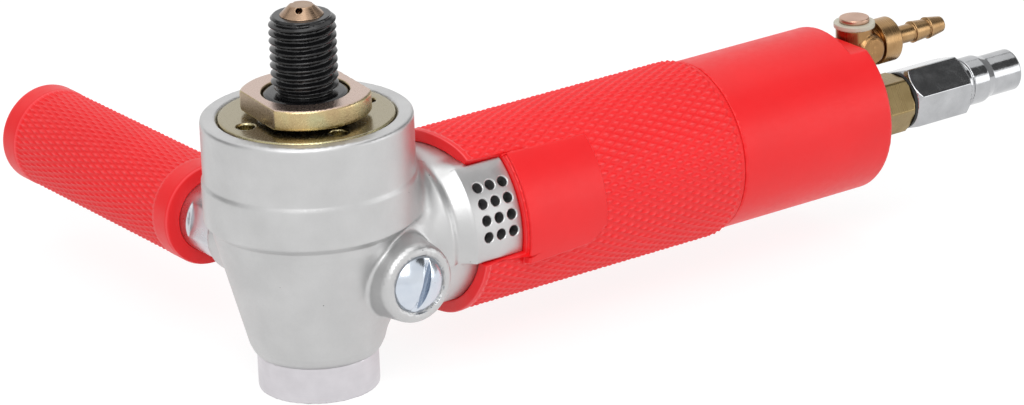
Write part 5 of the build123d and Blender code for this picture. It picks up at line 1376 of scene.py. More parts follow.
@dataclass
class WaterSpindle:
    """Spindle with its thread, the pad flange round it and the water nozzle in its end."""

    # Shaft, from its tail up: radius at each seat
    top_z: float = span("spindle", Axis.Z)[1]
    tail_z: float = span("spindle", Axis.Z)[0]
    tail_r: float = 4.0
    lower_seat_r: float = 5.0
    neck_r: float = 5.8
    gear_seat_r: float = 7.0
    clip_groove_r: float = 6.3
    upper_seat_r: float = 7.5
    collar_r: float = 9.5
    shoulder_r: float = 10.5
    collar_z: float = -3.5
    shoulder_z: float = -0.2
    # The domed shoulder ring as offsets from the shoulder's top, then the relief under the thread
    shoulder_round: Outline = ((-0.8, 10.4), (-0.3, 10.0), (0.0, 9.3), (0.1, 8.4))
    shoulder_side: float = 1.4
    relief_r: float = 6.6
    relief: Pair = (1.0, 1.5)
    # Thread: crest radius, pitch, depth, and widths of crest and root
    thread_r: float = 8.0
    thread_chamfer: float = 1.1
    pitch: float = 2.0
    depth: float = 1.08
    crest: float = 0.25
    root: float = 0.5
    thread_phase: float = 0.75
    thread_start: float = 0.3
    thread_edge: float = 0.12
    no_thread_r: float = 30.0
    # Water bore, the nozzle's socket at its end, and the keyway
    bore_r: float = 2.0
    socket: float = 6.0
    key_half: float = 1.5
    key_floor: float = -5.8
    key_reach: float = 4.0
    # Flange
    flange_r: float = 15.75
    flange_edge: float = 0.8
    flange_flats: float = 26.0
    flats_edge: float = 0.35
    flange_bore_edge: float = 0.5
    flange_turn: float = -6.4
    # Nozzle
    nozzle_stem_r: float = 3.5
    nozzle_foot_r: float = 5.3
    nozzle_tip_r: float = 2.85
    nozzle_bore_r: float = 1.6
    nozzle_round: float = 0.1
    nozzle_edge: float = 0.25
    nozzle_wall: float = 0.9
    jet_count: int = 3
    jet_r: float = 0.82
    jet_edge: float = 0.2
    jet_turn: float = -133.6
    jet_tilt: float = 40.0

    def spindle(self) -> Piece:
        """The spindle: turned shaft, wound thread, keyway and water bore."""
        seat, clip, key_z = (span(node, Axis.Z) for node in ("lower_bearing_inner", "gear_clip", "gear_key"))
        outline = (
            *stepped(
                self.tail_z,
                (self.tail_r, seat[0] - HAIR),
                (self.lower_seat_r, seat[1]),
                (self.neck_r, clip[0] - 7 * HAIR),
                (self.gear_seat_r, clip[0] - 2 * HAIR),
                (self.clip_groove_r, clip[1] + HAIR),
                (self.gear_seat_r, UPPER_BEARING_Z[0]),
                (self.upper_seat_r, UPPER_BEARING_Z[1]),
                (self.collar_r, self.collar_z),
                (self.shoulder_r, self.shoulder_z - self.shoulder_side),
            ),
            *moved(self.shoulder_round, self.shoulder_z, 0.0),
            (self.shoulder_z + self.shoulder_round[-1][0] + HAIR, self.relief_r),
            (self.shoulder_z + self.relief[0], self.relief_r),
            (self.shoulder_z + self.relief[1], self.thread_r),
            (self.top_z - self.thread_chamfer, self.thread_r),
            (self.top_z, self.thread_r - self.thread_chamfer),
        )
        shaft = Turned(*SPINDLE_LINE, outline)
        socket = (self.nozzle_stem_r + FIT, self.top_z + PAST)
        inside = stepped(self.tail_z - PAST, (self.bore_r, self.top_z - self.socket - HAIR), socket)
        bore = Turned(*SPINDLE_LINE, inside)
        flank = self.depth / ((self.pitch - self.crest - self.root) / 2)

        def threaded(points: Points) -> Values:
            """Distances from the shaft with its thread."""
            lead = self.pitch * np.arctan2(points[:, 1], points[:, 0]) / (2 * math.pi)
            along = points[:, 2] - lead - self.thread_phase
            off = np.abs((along / self.pitch + 0.5) % 1.0 - 0.5) * self.pitch
            floor = self.thread_r - self.depth + np.maximum(off - self.root / 2, 0.0) * flank
            floor = np.where(points[:, 2] > self.shoulder_z + self.thread_start, floor, self.no_thread_r)
            groove = (np.hypot(points[:, 0], points[:, 1]) - floor) / math.hypot(1.0, flank)
            return soft_max(shaft(points), groove, self.thread_edge)

        def keyway(points: Points) -> Values:
            """Distances from the keyway."""
            key = np.maximum(np.abs(points[:, 1]) - self.key_half, points[:, 0] - self.key_floor)
            return np.maximum(key, np.abs(points[:, 2] - sum(key_z) / 2) - self.key_reach)

        form = less(threaded, 0.0, bore, keyway)
        piece = solid_piece("threaded_spindle", form, *room("spindle"), 0.3, BLACK_OXIDE)
        return stand_for(piece, Body.SPINDLE, "black_steel", "spindle")

    def flange(self) -> Piece:
        """The pad flange with its two spanner flats."""
        low, high = room("pad_flange")
        disc = Turned(*SPINDLE_LINE, stepped(low[2], (self.flange_r, high[2])), edge=self.flange_edge)
        collar = (self.collar_r + FIT, self.collar_z - 2 * HAIR)
        bore = Turned(*SPINDLE_LINE, stepped(low[2] - PAST, collar, (self.shoulder_r + FIT, PAST)))
        turn = math.radians(self.flange_turn)

        def flatted(points: Points) -> Values:
            """Distances from the disc with its flats."""
            across = np.abs(points[:, 0] * math.cos(turn) + points[:, 1] * math.sin(turn))
            return soft_max(disc(points), across - self.flange_flats / 2, self.flats_edge)

        form = less(flatted, self.flange_bore_edge, bore)
        piece = solid_piece("flange", form, low, high, 0.32, YELLOW_ZINC)
        return stand_for(piece, Body.SPINDLE, "yellow_zinc_steel", "pad_flange")

    def nozzle(self) -> Piece:
        """The water nozzle: a cone with three jets."""
        low, high = room("water_nozzle")
        base = self.top_z + HAIR
        stem = stepped(low[2], (self.nozzle_stem_r, self.top_z))
        outline = (*stem, (base, self.nozzle_foot_r), (high[2], self.nozzle_tip_r))
        cone = Turned(*SPINDLE_LINE, outline, self.nozzle_round, self.nozzle_edge)
        inside = stepped(low[2] - PAST, (self.nozzle_bore_r, high[2] - self.nozzle_wall))
        body = less(cone, 0.0, Turned(*SPINDLE_LINE, inside))
        start = (0.0, 0.0, base - self.nozzle_wall)
        rise = math.radians(self.jet_tilt)
        turns = evenly(self.jet_turn, self.jet_count)
        ways = [(math.cos(rise) * math.cos(t), math.cos(rise) * math.sin(t), math.sin(rise)) for t in turns]

        def form(points: Points) -> Values:
            """Distances from the cone less its jets."""
            distance = body(points)
            for way in ways:
                ahead = (points - np.asarray(start)) @ np.asarray(way)
                jet = np.maximum(rod(points, start, way, self.jet_r), -ahead)
                distance = soft_max(distance, -jet, self.jet_edge)
            return distance

        piece = solid_piece("nozzle", form, low, high, 0.2, COPPERY_BRASS)
        return stand_for(piece, Body.SPINDLE, "brass", "water_nozzle")


def knurled(base: Grained, grip: str, **knurl: object) -> KnurledPlastic:
    """The knurled form of a plastic.

    Args:
        base: The plain plastic.
        grip: Name of the grip that has the knurl.
        knurl: What the knurl adds to the plain finish, with the painted highlight on its tips.

    Returns:
        The finish.
    """
    name = f"{base.name}_{grip}_knurl"
    return KnurledPlastic(name, base.colour, base.shade, base.roughness, base.metallic, **knurl)


@dataclass
class MainHandle:
    """Knurled sleeve of the main handle, with the exhaust slot and the deflector behind it.

    Places are along the handle, and angles are round it in degrees, up from the side that faces -Y.
    """

    start_x: float = span("grip_sleeve", Axis.X)[0]
    end_x: float = span("grip_sleeve", Axis.X)[1]
    barrel_end: float = span("housing", Axis.X)[1]
    r: float = 22.9
    inner_r: float = 19.76
    rear_inner_r: float = 20.36
    inner_chamfer: float = 0.3
    taper: Pair = (2.4, 1.2)
    # Front edge as steps back and in from it, and the rear edge
    front_edge: Outline = ((0.0, -0.5), (0.15, -0.15), (0.45, 0.0))
    rear_edge: float = 0.12
    last_row: float = 0.2
    rear_lift: float = 0.03
    # Exhaust slot, and how far the front edge is cut back over and under it: depth and sweep
    slot_x: float = 46.4
    slot_low: float = -13.2
    slot_high: float = 54.2
    slot_side: float = 0.6
    slot_settled: float = 8.0
    top_cut: Pair = (2.4, 42.0)
    foot_cut: Pair = (0.6, 38.0)
    # Smooth deflector behind the slot: its front wall, its rise there, and its sides
    wall: float = 0.4
    rise: float = 1.6
    patch_end_x: float = 70.8
    patch_end: float = 0.3
    patch_corner: Pair = (4.5, 12.0)
    patch_low: float = -19.8
    patch_low_side: Pair = (-1.0, 2.0)
    patch_high: float = 51.6
    patch_high_side: Pair = (-1.0, 1.0)
    # Knurl: diamonds round the grip, their length, rings in each, depth, and the plain bands at both ends
    starts: int = 61
    diamond: float = 4.49
    samples: int = 8
    depth: float = 0.68
    band: float = 1.8
    band_side: float = 0.5
    rear_band: Pair = (1.8, 0.7)

    def start(self, turn: Values) -> Values:
        """Front edge at an angle round the handle: it runs back on both sides of the slot."""
        over, under = turn - self.slot_high, self.slot_low - turn
        upper = self.top_cut[0] * (1.0 - ease(over, 0.0, self.top_cut[1]))
        lower = self.foot_cut[0] * (1.0 - ease(under, 0.0, self.foot_cut[1]))
        return self.start_x + np.where(turn > (self.slot_low + self.slot_high) / 2, upper, lower)

    def patch(self, along: Values, turn: Values) -> Values:
        """Share from 0 to 1 of the smooth deflector at a place along and an angle round the handle."""
        low = (self.patch_low + side for side in self.patch_low_side)
        high = (self.patch_high + side for side in self.patch_high_side)
        sides = ease(turn, *low) * (1.0 - ease(turn, *high))
        length, sweep = self.patch_corner
        end = self.patch_end_x - length * (1.0 - ease(turn, self.patch_low, self.patch_low + sweep))
        front = ease(along, self.slot_x - self.wall, self.slot_x + self.wall)
        return sides * front * (1.0 - ease(along, end - self.patch_end, end + self.patch_end))

    def radius(self, along: Values, turn: Values) -> Values:
        """Outer radius at a place along and an angle round the handle."""
        grooves = 1.0 - diamonds(along / self.diamond, turn / 360.0 * self.starts)
        patch = self.patch(along, turn)
        shown = ease(along - self.start(turn), self.band - self.band_side, self.band + self.band_side)
        rear, plain = (self.end_x - band for band in self.rear_band)
        shown = shown * (1.0 - ease(along, rear, plain)) * (1.0 - patch)
        length, drop = self.taper
        base = self.r - drop * np.clip((along - self.end_x + length) / length, 0.0, 1.0)
        ramp = np.clip((self.patch_end_x - along) / (self.patch_end_x - self.slot_x - self.wall), 0.0, 1.0)
        return base - self.depth * grooves * shown + patch * self.rise * ramp

    def build(self) -> Piece:
        """The sleeve, as rings from its front edge over the outside to its rear and back inside."""
        count = self.starts * self.samples
        turn = np.arange(count) * (360.0 / count) - 180.0
        side = self.slot_side
        slot = ease(turn, self.slot_low - side, self.slot_low + side)
        slot = slot * (1.0 - ease(turn, self.slot_high - side, self.slot_high + side))
        corner = self.start(turn)
        front = corner + (self.slot_x - corner) * slot
        settled = self.slot_x + self.slot_settled
        rows = np.arange(self.start_x, self.end_x - self.last_row, self.diamond / self.samples)
        profile = []
        for row in np.append(rows, self.end_x):
            share = (row - self.start_x) / (settled - self.start_x)
            place = front + share * (settled - front) if row < settled else np.full_like(turn, row)
            profile.append((place, self.radius(place, turn)))
        place, radius = profile[0]
        edge = [(place + back, radius + out) for back, out in self.front_edge]
        place, radius = profile[-1]
        rear = [(place - self.rear_edge, radius + self.rear_lift), (place, radius - self.rear_edge)]
        flat = np.ones_like(turn)
        inside = [
            (place, flat * self.rear_inner_r),
            (flat * self.barrel_end, flat * self.rear_inner_r),
            (flat * self.barrel_end, flat * self.inner_r),
            (front + self.inner_chamfer, flat * self.inner_r),
            (front, flat * (self.inner_r + self.inner_chamfer)),
        ]
        angle = np.radians(turn)
        rings = [
            np.stack([place, -radius * np.cos(angle), HANDLE_Z + radius * np.sin(angle)], 1)
            for place, radius in edge + profile[1:-1] + rear + inside
        ]
        # The knurl's tips take a painted highlight
        finish = knurled(RED_PLASTIC, "main", height=HANDLE_Z, r=self.r, knurl=self.depth)
        piece = ring_piece("grip", rings, True, finish)
        return stand_for(piece, Body.TOOL, "red_plastic", "grip_sleeve")


@dataclass
class Throttle:
    """Smooth sleeve that turns at the rear of the handle."""

    start_x: float = span("throttle_sleeve", Axis.X)[0]
    end_x: float = span("throttle_sleeve", Axis.X)[1]
    r: float = 21.7
    bore_r: float = 16.46
    bore_edge: float = 0.4
    front_edge: float = 0.1
    lap: float = 0.1
    # Rounded rear edge and the flat above it
    rear_round: float = 0.6
    rear_bulge: float = 0.3
    flat: float = 18.05
    flat_length: float = 5.5
    flat_corner: float = 0.5
    flat_edge: float = 0.25
    # Groove of the stop pin and the air pocket: start, end and radius, then middle and half of the sweep
    groove: tuple[float, float, float] = (145.1, 148.9, 18.6)
    groove_sweep: Pair = (-15.0, 22.0)
    pocket: tuple[float, float, float] = (122.9, 143.9, 18.26)
    pocket_sweep: Pair = (-120.0, 11.0)

    def hollow(self, sides: tuple[float, float, float], sweep: Pair) -> Field:
        """Field of part of a ring inside the sleeve.

        Args:
            sides: Its start, end and outer radius.
            sweep: Middle and half of its sweep, in degrees up from +Y.

        Returns:
            The field.
        """
        start, stop, outer = sides
        middle_turn, half = sweep

        def form(points: Points) -> Values:
            """Distances from the part of a ring."""
            up = points[:, 2] - HANDLE_Z
            radius = np.hypot(points[:, 1], up)
            turn = (np.degrees(np.arctan2(up, points[:, 1])) - middle_turn + 180.0) % 360.0 - 180.0
            walls = np.maximum(np.abs(points[:, 0] - (start + stop) / 2) - (stop - start) / 2, radius - outer)
            return np.maximum(walls, np.radians(np.abs(turn) - half) * radius)

        return form

    def build(self) -> Piece:
        """The sleeve, with the rear flat, the pin's groove and the air pocket."""
        front, edge = self.start_x - self.lap, self.front_edge
        bulge = self.rear_bulge * self.rear_round
        sides = (
            (front, self.r - edge),
            (front + edge, self.r),
            (self.end_x - self.rear_round, self.r),
            (self.end_x - bulge, self.r - bulge),
            (self.end_x, self.r - self.rear_round),
        )
        shell = Turned(*HANDLE_LINE, sides)
        bore = Turned(*HANDLE_LINE, stepped(self.start_x - PAST, (self.bore_r, self.end_x + PAST)))

        def notch(points: Points) -> Values:
            """Distances from the notch over the rear flat."""
            ahead = self.end_x - self.flat_length - points[:, 0]
            return soft_max(self.flat - (points[:, 2] - HANDLE_Z), ahead, self.flat_corner)

        form = less(less(shell, self.flat_edge, notch), self.bore_edge, bore)
        hollows = (self.hollow(self.groove, self.groove_sweep), self.hollow(self.pocket, self.pocket_sweep))
        form = less(form, 0.0, *hollows)
        piece = solid_piece("throttle_twist_sleeve", form, *room("throttle_sleeve"), 0.6, RED_PLASTIC)
        return stand_for(piece, Body.THROTTLE, "red_plastic", "throttle_sleeve")


@dataclass
class SideHandle:
    """Stud with two spanner flats, and the red grip on it with fine knurling between smooth bands."""

    # Stud: thread in the boss, bare length, collar and the core inside the grip
    thread_r: float = 6.0
    seat_y: float = 31.42
    seat_chamfer: float = 0.5
    stud_r: float = 9.1
    stud_round: float = 0.15
    stud_edge: float = 0.3
    collar_y: float = 52.4
    core_r: float = 5.0
    core_y: float = 114.4
    flats: float = 16.0
    flats_y: float = 42.4
    flats_turn: float = -12.0
    flats_corner: float = 0.4
    flats_edge: float = 0.3
    # Grip: near edge as steps along and in from its radius, then the rounded far end
    start_y: float = span("side_handle_grip", Axis.Y)[0]
    end_y: float = span("side_handle_grip", Axis.Y)[1]
    r: float = 12.85
    bore_chamfer: Pair = (0.2, 0.23)
    near_edge: Outline = ((0.0, -0.8), (0.25, -0.25))
    near_round: float = 0.9
    end_round: float = 1.2
    end_rings: int = 5
    # Knurl: diamonds round the grip, their length, rings in each, depth, and its two ends
    starts: int = 52
    diamond: float = 5.7
    samples: int = 8
    depth: float = 0.52
    knurl_low: float = 52.5
    knurl_high: float = 118.0
    knurl_side: float = 0.7
    # Colour of the painted highlight on the knurl's tips
    tip_highlight: str = "#FF4A50"

    def stud(self) -> Piece:
        """The stud: thread in the boss, flats, collar and the core inside the grip."""
        low, high = room("side_handle_stud")
        bare, core = (self.stud_r, self.collar_y - HAIR), (self.core_r, self.core_y)
        outline = (
            *stepped(low[1], (self.thread_r, self.seat_y - HAIR)),
            (self.seat_y, self.stud_r - self.seat_chamfer),
            *stepped(self.seat_y + self.seat_chamfer, bare, core),
        )
        bar = Turned(*SIDE_LINE, outline, self.stud_round, self.stud_edge)
        turn = math.radians(self.flats_turn)

        def cut(points: Points) -> Values:
            """Distances from what the two flats take away."""
            across = points[:, 0] * math.cos(turn) + (points[:, 2] - SIDE_Z) * math.sin(turn)
            return soft_max(self.flats / 2 - np.abs(across), points[:, 1] - self.flats_y, self.flats_corner)

        form = less(bar, self.flats_edge, cut)
        piece = solid_piece("stud", form, low, high, 0.42, BRIGHT_ZINC)
        return stand_for(piece, Body.TOOL, "chrome_steel", "side_handle_stud")

    def profile(self) -> list[Pair]:
        """Place and radius of each ring of the grip, from its bore round the near end to the far end."""
        core_r, bore_r = self.core_r + FIT, self.stud_r + FIT
        length, wider = self.bore_chamfer
        profile = [(self.core_y, core_r), (self.collar_y, core_r), (self.collar_y, bore_r)]
        profile += [(self.start_y + length, bore_r), (self.start_y, bore_r + wider)]
        profile += moved(self.near_edge, self.start_y, self.r)
        first, last = self.start_y + self.near_round, self.end_y - self.end_round
        profile += [(row, self.r) for row in np.arange(first, last, self.diamond / self.samples)]
        for angle in np.linspace(0.0, math.pi / 2, self.end_rings):
            back, drop = self.end_round * (1 - math.sin(angle)), self.end_round * (1 - math.cos(angle))
            profile.append((self.end_y - back, self.r - drop))
        return [*profile, (self.end_y, self.r / 2)]

    def grip(self) -> Piece:
        """The grip, as rings with the knurl cut into them."""
        count = self.starts * self.samples
        turn = np.arange(count) * (2 * math.pi / count)
        side = self.knurl_side
        rings = []
        for place, radius in self.profile():
            along = np.full_like(turn, place)
            shown = ease(along, self.knurl_low - side, self.knurl_low + side) * (radius == self.r)
            shown = shown * (1.0 - ease(along, self.knurl_high - side, self.knurl_high + side))
            grooves = 1.0 - diamonds(along / self.diamond, turn / (2 * math.pi) * self.starts)
            out = radius - self.depth * shown * grooves
            rings.append(np.stack([out * np.cos(turn), along, SIDE_Z + out * np.sin(turn)], 1))
        # The knurl's tips take a painted highlight
        knurl = {"axis": Axis.Y, "height": SIDE_Z, "r": self.r, "knurl": self.depth, "tip_highlight": self.tip_highlight}
        piece = ring_piece("side_grip", rings, False, knurled(RED_PLASTIC, "side", **knurl))
        return stand_for(piece, Body.TOOL, "red_plastic", "side_handle_grip")


@dataclass
class WaterValve:
    """Brass elbow with a push button between nylon washers, and the hose barb."""

    # Elbow: upright barrel, arm to the barb, blind side boss and spigot into the inlet body
    outlet_z: float = WATER_Z - 3.6
    r: float = 4.8
    barrel_edge: float = 0.3
    arm_r: float = 4.4
    arm_edge: float = 0.2
    arm_end_x: float = 173.4
    arm_blend: float = 0.5
    boss_r: float = 4.1
    boss_x: float = VALVE_X + 1.8
    boss_edge: float = 2.6
    boss_blend: float = 0.6
    outlet_r: float = 2.2
    way_r: float = 1.1
    barb_thread: float = 3.0
    # Grooves of the two seal rings in the elbow's bore: their ends, then width and depth
    seal_low: float = 0.85
    seal_high: float = 1.0
    seal_groove: Pair = (0.6, 0.62)
    # Button and spool, with a groove for the clip at its foot and a waist that the water flows round
    spool_r: float = 2.5
    spool_gap: float = 0.06
    spool_round: float = 0.1
    clip_groove: Pair = (0.28, 0.9)
    clip_groove_r: float = 2.0
    waist_r: float = 1.6
    button_r: float = 3.85
    button: float = 1.2
    button_edge: float = 0.35
    # Washers
    washer: float = 1.3
    washer_r: float = 5.3
    washer_edge: float = 0.3
    # Barb: threaded stem, collar, tail with two ridges, tip and bore
    barb_stem_r: float = 3.0
    collar_r: float = 5.8
    collar_end_x: float = 179.2
    collar_chamfer: float = 0.6
    tail_r: float = 2.35
    ridge_r: float = 2.85
    ridge_x: tuple[float, ...] = (186.2, 191.25)
    tip_r: float = 2.05
    barb_round: float = 0.08
    barb_edge: float = 0.3
    barb_bore_r: float = 1.3
    barb_bore_edge: float = 0.2

    def body(self) -> Piece:
        """The elbow: upright barrel, blind side boss, arm to the barb and spigot into the inlet body."""
        low, high = room("water_valve_body")
        barrel = Turned(*VALVE_LINE, stepped(low[2], (self.r, high[2])), edge=self.barrel_edge)
        arm = Turned(*WATER_LINE, stepped(VALVE_X, (self.arm_r, self.arm_end_x)), edge=self.arm_edge)
        sides = stepped(low[1], (self.boss_r, 0.0))
        boss = Turned(Axis.Y, (self.boss_x, WATER_Z), sides, edge=self.boss_edge)
        outlet_line = (Axis.X, (0.0, self.outlet_z))
        spigot = Turned(*outlet_line, stepped(low[0], (self.outlet_r, VALVE_X)), edge=self.arm_edge)

        def elbow(points: Points) -> Values:
            """Distances from the elbow without its ways."""
            distance = soft_min(barrel(points), arm(points), self.arm_blend)
            distance = soft_min(distance, spigot(points), self.arm_blend)
            return soft_min(distance, boss(points), self.boss_blend)

        bore_r = self.spool_r + self.spool_gap
        width, depth = self.seal_groove
        runs = []
        for top in (low[2] + self.seal_low, high[2] - self.seal_high):
            runs += [(bore_r, top - width - HAIR), (bore_r + depth, top)]
        bore = Turned(*VALVE_LINE, stepped(low[2] - PAST, *runs, (bore_r, high[2] + PAST)))
        thread = (self.barb_stem_r + FIT, self.arm_end_x + PAST)
        way_in = stepped(VALVE_X, (self.way_r, self.arm_end_x - self.barb_thread - HAIR), thread)
        socket = Turned(*WATER_LINE, way_in)
        outlet = Turned(*outlet_line, stepped(low[0] - PAST, (self.way_r, VALVE_X)))
        form = less(elbow, 0.0, bore, socket, outlet)
        piece = solid_piece("valve_elbow", form, low, high, 0.28, BROWN_BRASS)
        return stand_for(piece, Body.TOOL, "brass", "water_valve_body")

    def push_button(self) -> Piece:
        """The push button and its spool."""
        low, high = room("water_valve_spool")
        groove_low, groove_high = (low[2] + place for place in self.clip_groove)
        outline = stepped(
            low[2],
            (self.spool_r, groove_low),
            (self.clip_groove_r, groove_high),
            (self.spool_r, self.outlet_z - self.way_r - HAIR),
            (self.waist_r, WATER_Z + self.way_r),
            (self.spool_r, high[2] - self.button - HAIR),
            (self.button_r, high[2]),
        )
        form = Turned(*VALVE_LINE, outline, self.spool_round, self.button_edge)
        piece = solid_piece("push_button", form, low, high, 0.22, ROSY_BRASS)
        return stand_for(piece, Body.BUTTON, "brass", "water_valve_spool")

    def washers(self) -> Piece:
        """The two nylon washers."""
        low, high = room("valve_washers")
        under, over = (
            Turned(*VALVE_LINE, stepped(foot, (self.washer_r, foot + self.washer)), edge=self.washer_edge)
            for foot in (low[2], high[2] - self.washer)
        )
        hole_r = self.spool_r + self.spool_gap

        def form(points: Points) -> Values:
            """Distances from both rings less their hole."""
            hole = np.hypot(points[:, 0] - VALVE_X, points[:, 1]) - hole_r
            return soft_max(np.minimum(under(points), over(points)), -hole, self.washer_edge)

        piece = solid_piece("nylon_washers", form, low, high, 0.25, NYLON)
        return stand_for(piece, Body.TOOL, "nylon", "valve_washers")

    def barb(self) -> Piece:
        """The hose barb: collar and two ridges."""
        low, high = room("hose_barb")
        collar = (self.collar_r, self.collar_end_x - self.collar_chamfer)
        outline = [*stepped(low[0], (self.barb_stem_r, self.arm_end_x - HAIR), collar)]
        outline += [(self.collar_end_x, self.collar_r - self.collar_chamfer)]
        outline += [(self.collar_end_x + HAIR, self.tail_r)]
        for ridge in self.ridge_x:
            outline += [(ridge - HAIR, self.tail_r), (ridge, self.ridge_r)]
        outline += [(high[0], self.tip_r)]
        body = Turned(*WATER_LINE, tuple(outline), self.barb_round, self.barb_edge)

        def form(points: Points) -> Values:
            """Distances from the barb less its bore."""
            bore = np.hypot(points[:, 1], points[:, 2] - WATER_Z) - self.barb_bore_r
            return soft_max(body(points), -bore, self.barb_bore_edge)

        piece = solid_piece("barb", form, low, high, 0.25, GOLDEN_BRASS)
        return stand_for(piece, Body.TOOL, "brass", "hose_barb")


@dataclass
class AirInlet:
    """Brass bushing with a hexagon, and the chromed quick plug on it."""

    # What both hexagon bars share: broken corners, chamfered ends and their cuts
    chamfer: float = 0.9
    hex_corner: float = 0.25
    hex_edge: float = 0.12
    hex_lap: float = 0.2
    hex_clear: float = 3.0
    bar_edge: float = 0.3
    # Bushing: thread into the inlet body, hexagon, thread into the plug, and bore
    bush_flats: float = 14.0
    bush_turn: float = 30.0
    bush_thread: Pair = (6.5, 6.6)
    bush_hex_x: float = 172.0
    bush_round: float = 0.05
    bush_bore_r: float = 3.4
    gasket_x: float = 181.6
    plug_thread_r: float = 5.0
    plug_thread: float = 8.3
    # Plug: hexagon with a larger chamfer at its front, neck, band, cone and tip, and bore
    plug_flats: float = 15.0
    plug_turn: float = 11.5
    plug_round: float = 0.2
    front_more: float = 0.4
    hex_end_x: float = 200.4
    neck_r: float = 5.9
    band_x: float = 202.8
    band_r: float = 6.35
    band: float = 5.0
    band_cone: float = 7.5
    tip_r: float = 5.5
    tip_chamfer: float = 0.5
    plug_bore_r: float = 3.2

    def hex_bar(
        self, ends: Pair, flats: float, turn: float, turned: Field, bore: Field
    ) -> Field:
        """Field of a turned bar with a hexagon on part of its length.

        Args:
            ends: Where the hexagon starts and ends.
            flats: The hexagon's size across flats.
            turn: Angle of its corner from straight up.
            turned: Field of the whole bar before the hexagon is cut.
            bore: Field of its bore.

        Returns:
            The bar's field.
        """

        def flatted(points: Points) -> Values:
            """Distances from the bar with its flats."""
            sides = hexagon(points[:, 1], points[:, 2] - INLET_Z, flats, turn, self.hex_corner)
            beyond = np.maximum(ends[0] - points[:, 0], points[:, 0] - ends[1]) - self.hex_lap
            sides = np.minimum(sides, np.where(beyond > 0.0, -beyond - self.hex_clear, sides))
            return soft_max(turned(points), sides, self.hex_edge)

        return less(flatted, self.bar_edge, bore)

    def bushing(self) -> Piece:
        """The bushing between inlet body and quick plug."""
        low, high = room("inlet_bushing")
        corner = self.bush_flats / math.sqrt(3.0)
        start, end = self.bush_hex_x, self.gasket_x
        outline = (
            (low[0], self.bush_thread[0]),
            (start - HAIR, self.bush_thread[1]),
            (start, corner - self.chamfer),
            (start + self.chamfer, corner),
            (end - self.chamfer, corner),
            (end, corner - self.chamfer),
            *stepped(end + HAIR, (self.plug_thread_r, high[0])),
        )
        bar = Turned(*INLET_LINE, outline, self.bush_round, self.bar_edge)
        bore = Turned(*INLET_LINE, stepped(low[0] - PAST, (self.bush_bore_r, high[0] + PAST)))
        form = self.hex_bar((start, end), self.bush_flats, self.bush_turn, bar, bore)
        piece = solid_piece("bushing", form, low, high, 0.34, OLIVE_BRASS)
        return stand_for(piece, Body.TOOL, "brass", "inlet_bushing")

    def quick_plug(self) -> Piece:
        """The quick plug: hexagon, neck, band and tip."""
        low, high = room("air_plug")
        corner = self.plug_flats / math.sqrt(3.0)
        outline = (
            (low[0], corner - self.chamfer - self.front_more),
            (low[0] + self.chamfer + self.front_more, corner),
            (self.hex_end_x - self.chamfer, corner),
            (self.hex_end_x, corner - self.chamfer),
            *stepped(self.hex_end_x + HAIR, (self.neck_r, self.band_x - HAIR)),
            *stepped(self.band_x, (self.band_r, self.band_x + self.band)),
            *stepped(self.band_x + self.band_cone, (self.tip_r, high[0] - self.tip_chamfer)),
            (high[0], self.tip_r - self.tip_chamfer),
        )
        thread = (self.plug_thread_r + FIT, self.gasket_x + self.plug_thread)
        inside = stepped(low[0] - PAST, thread, (self.plug_bore_r, high[0] + PAST))
        bar = Turned(*INLET_LINE, outline, self.plug_round, self.bar_edge)
        bore = Turned(*INLET_LINE, inside)
        form = self.hex_bar((low[0], self.hex_end_x), self.plug_flats, self.plug_turn, bar, bore)
        piece = solid_piece("quick_plug", form, low, high, 0.3, CHROME)
        return stand_for(piece, Body.TOOL, "chrome_steel", "air_plug")


WHITE = (1.0, 1.0, 1.0, 1.0)


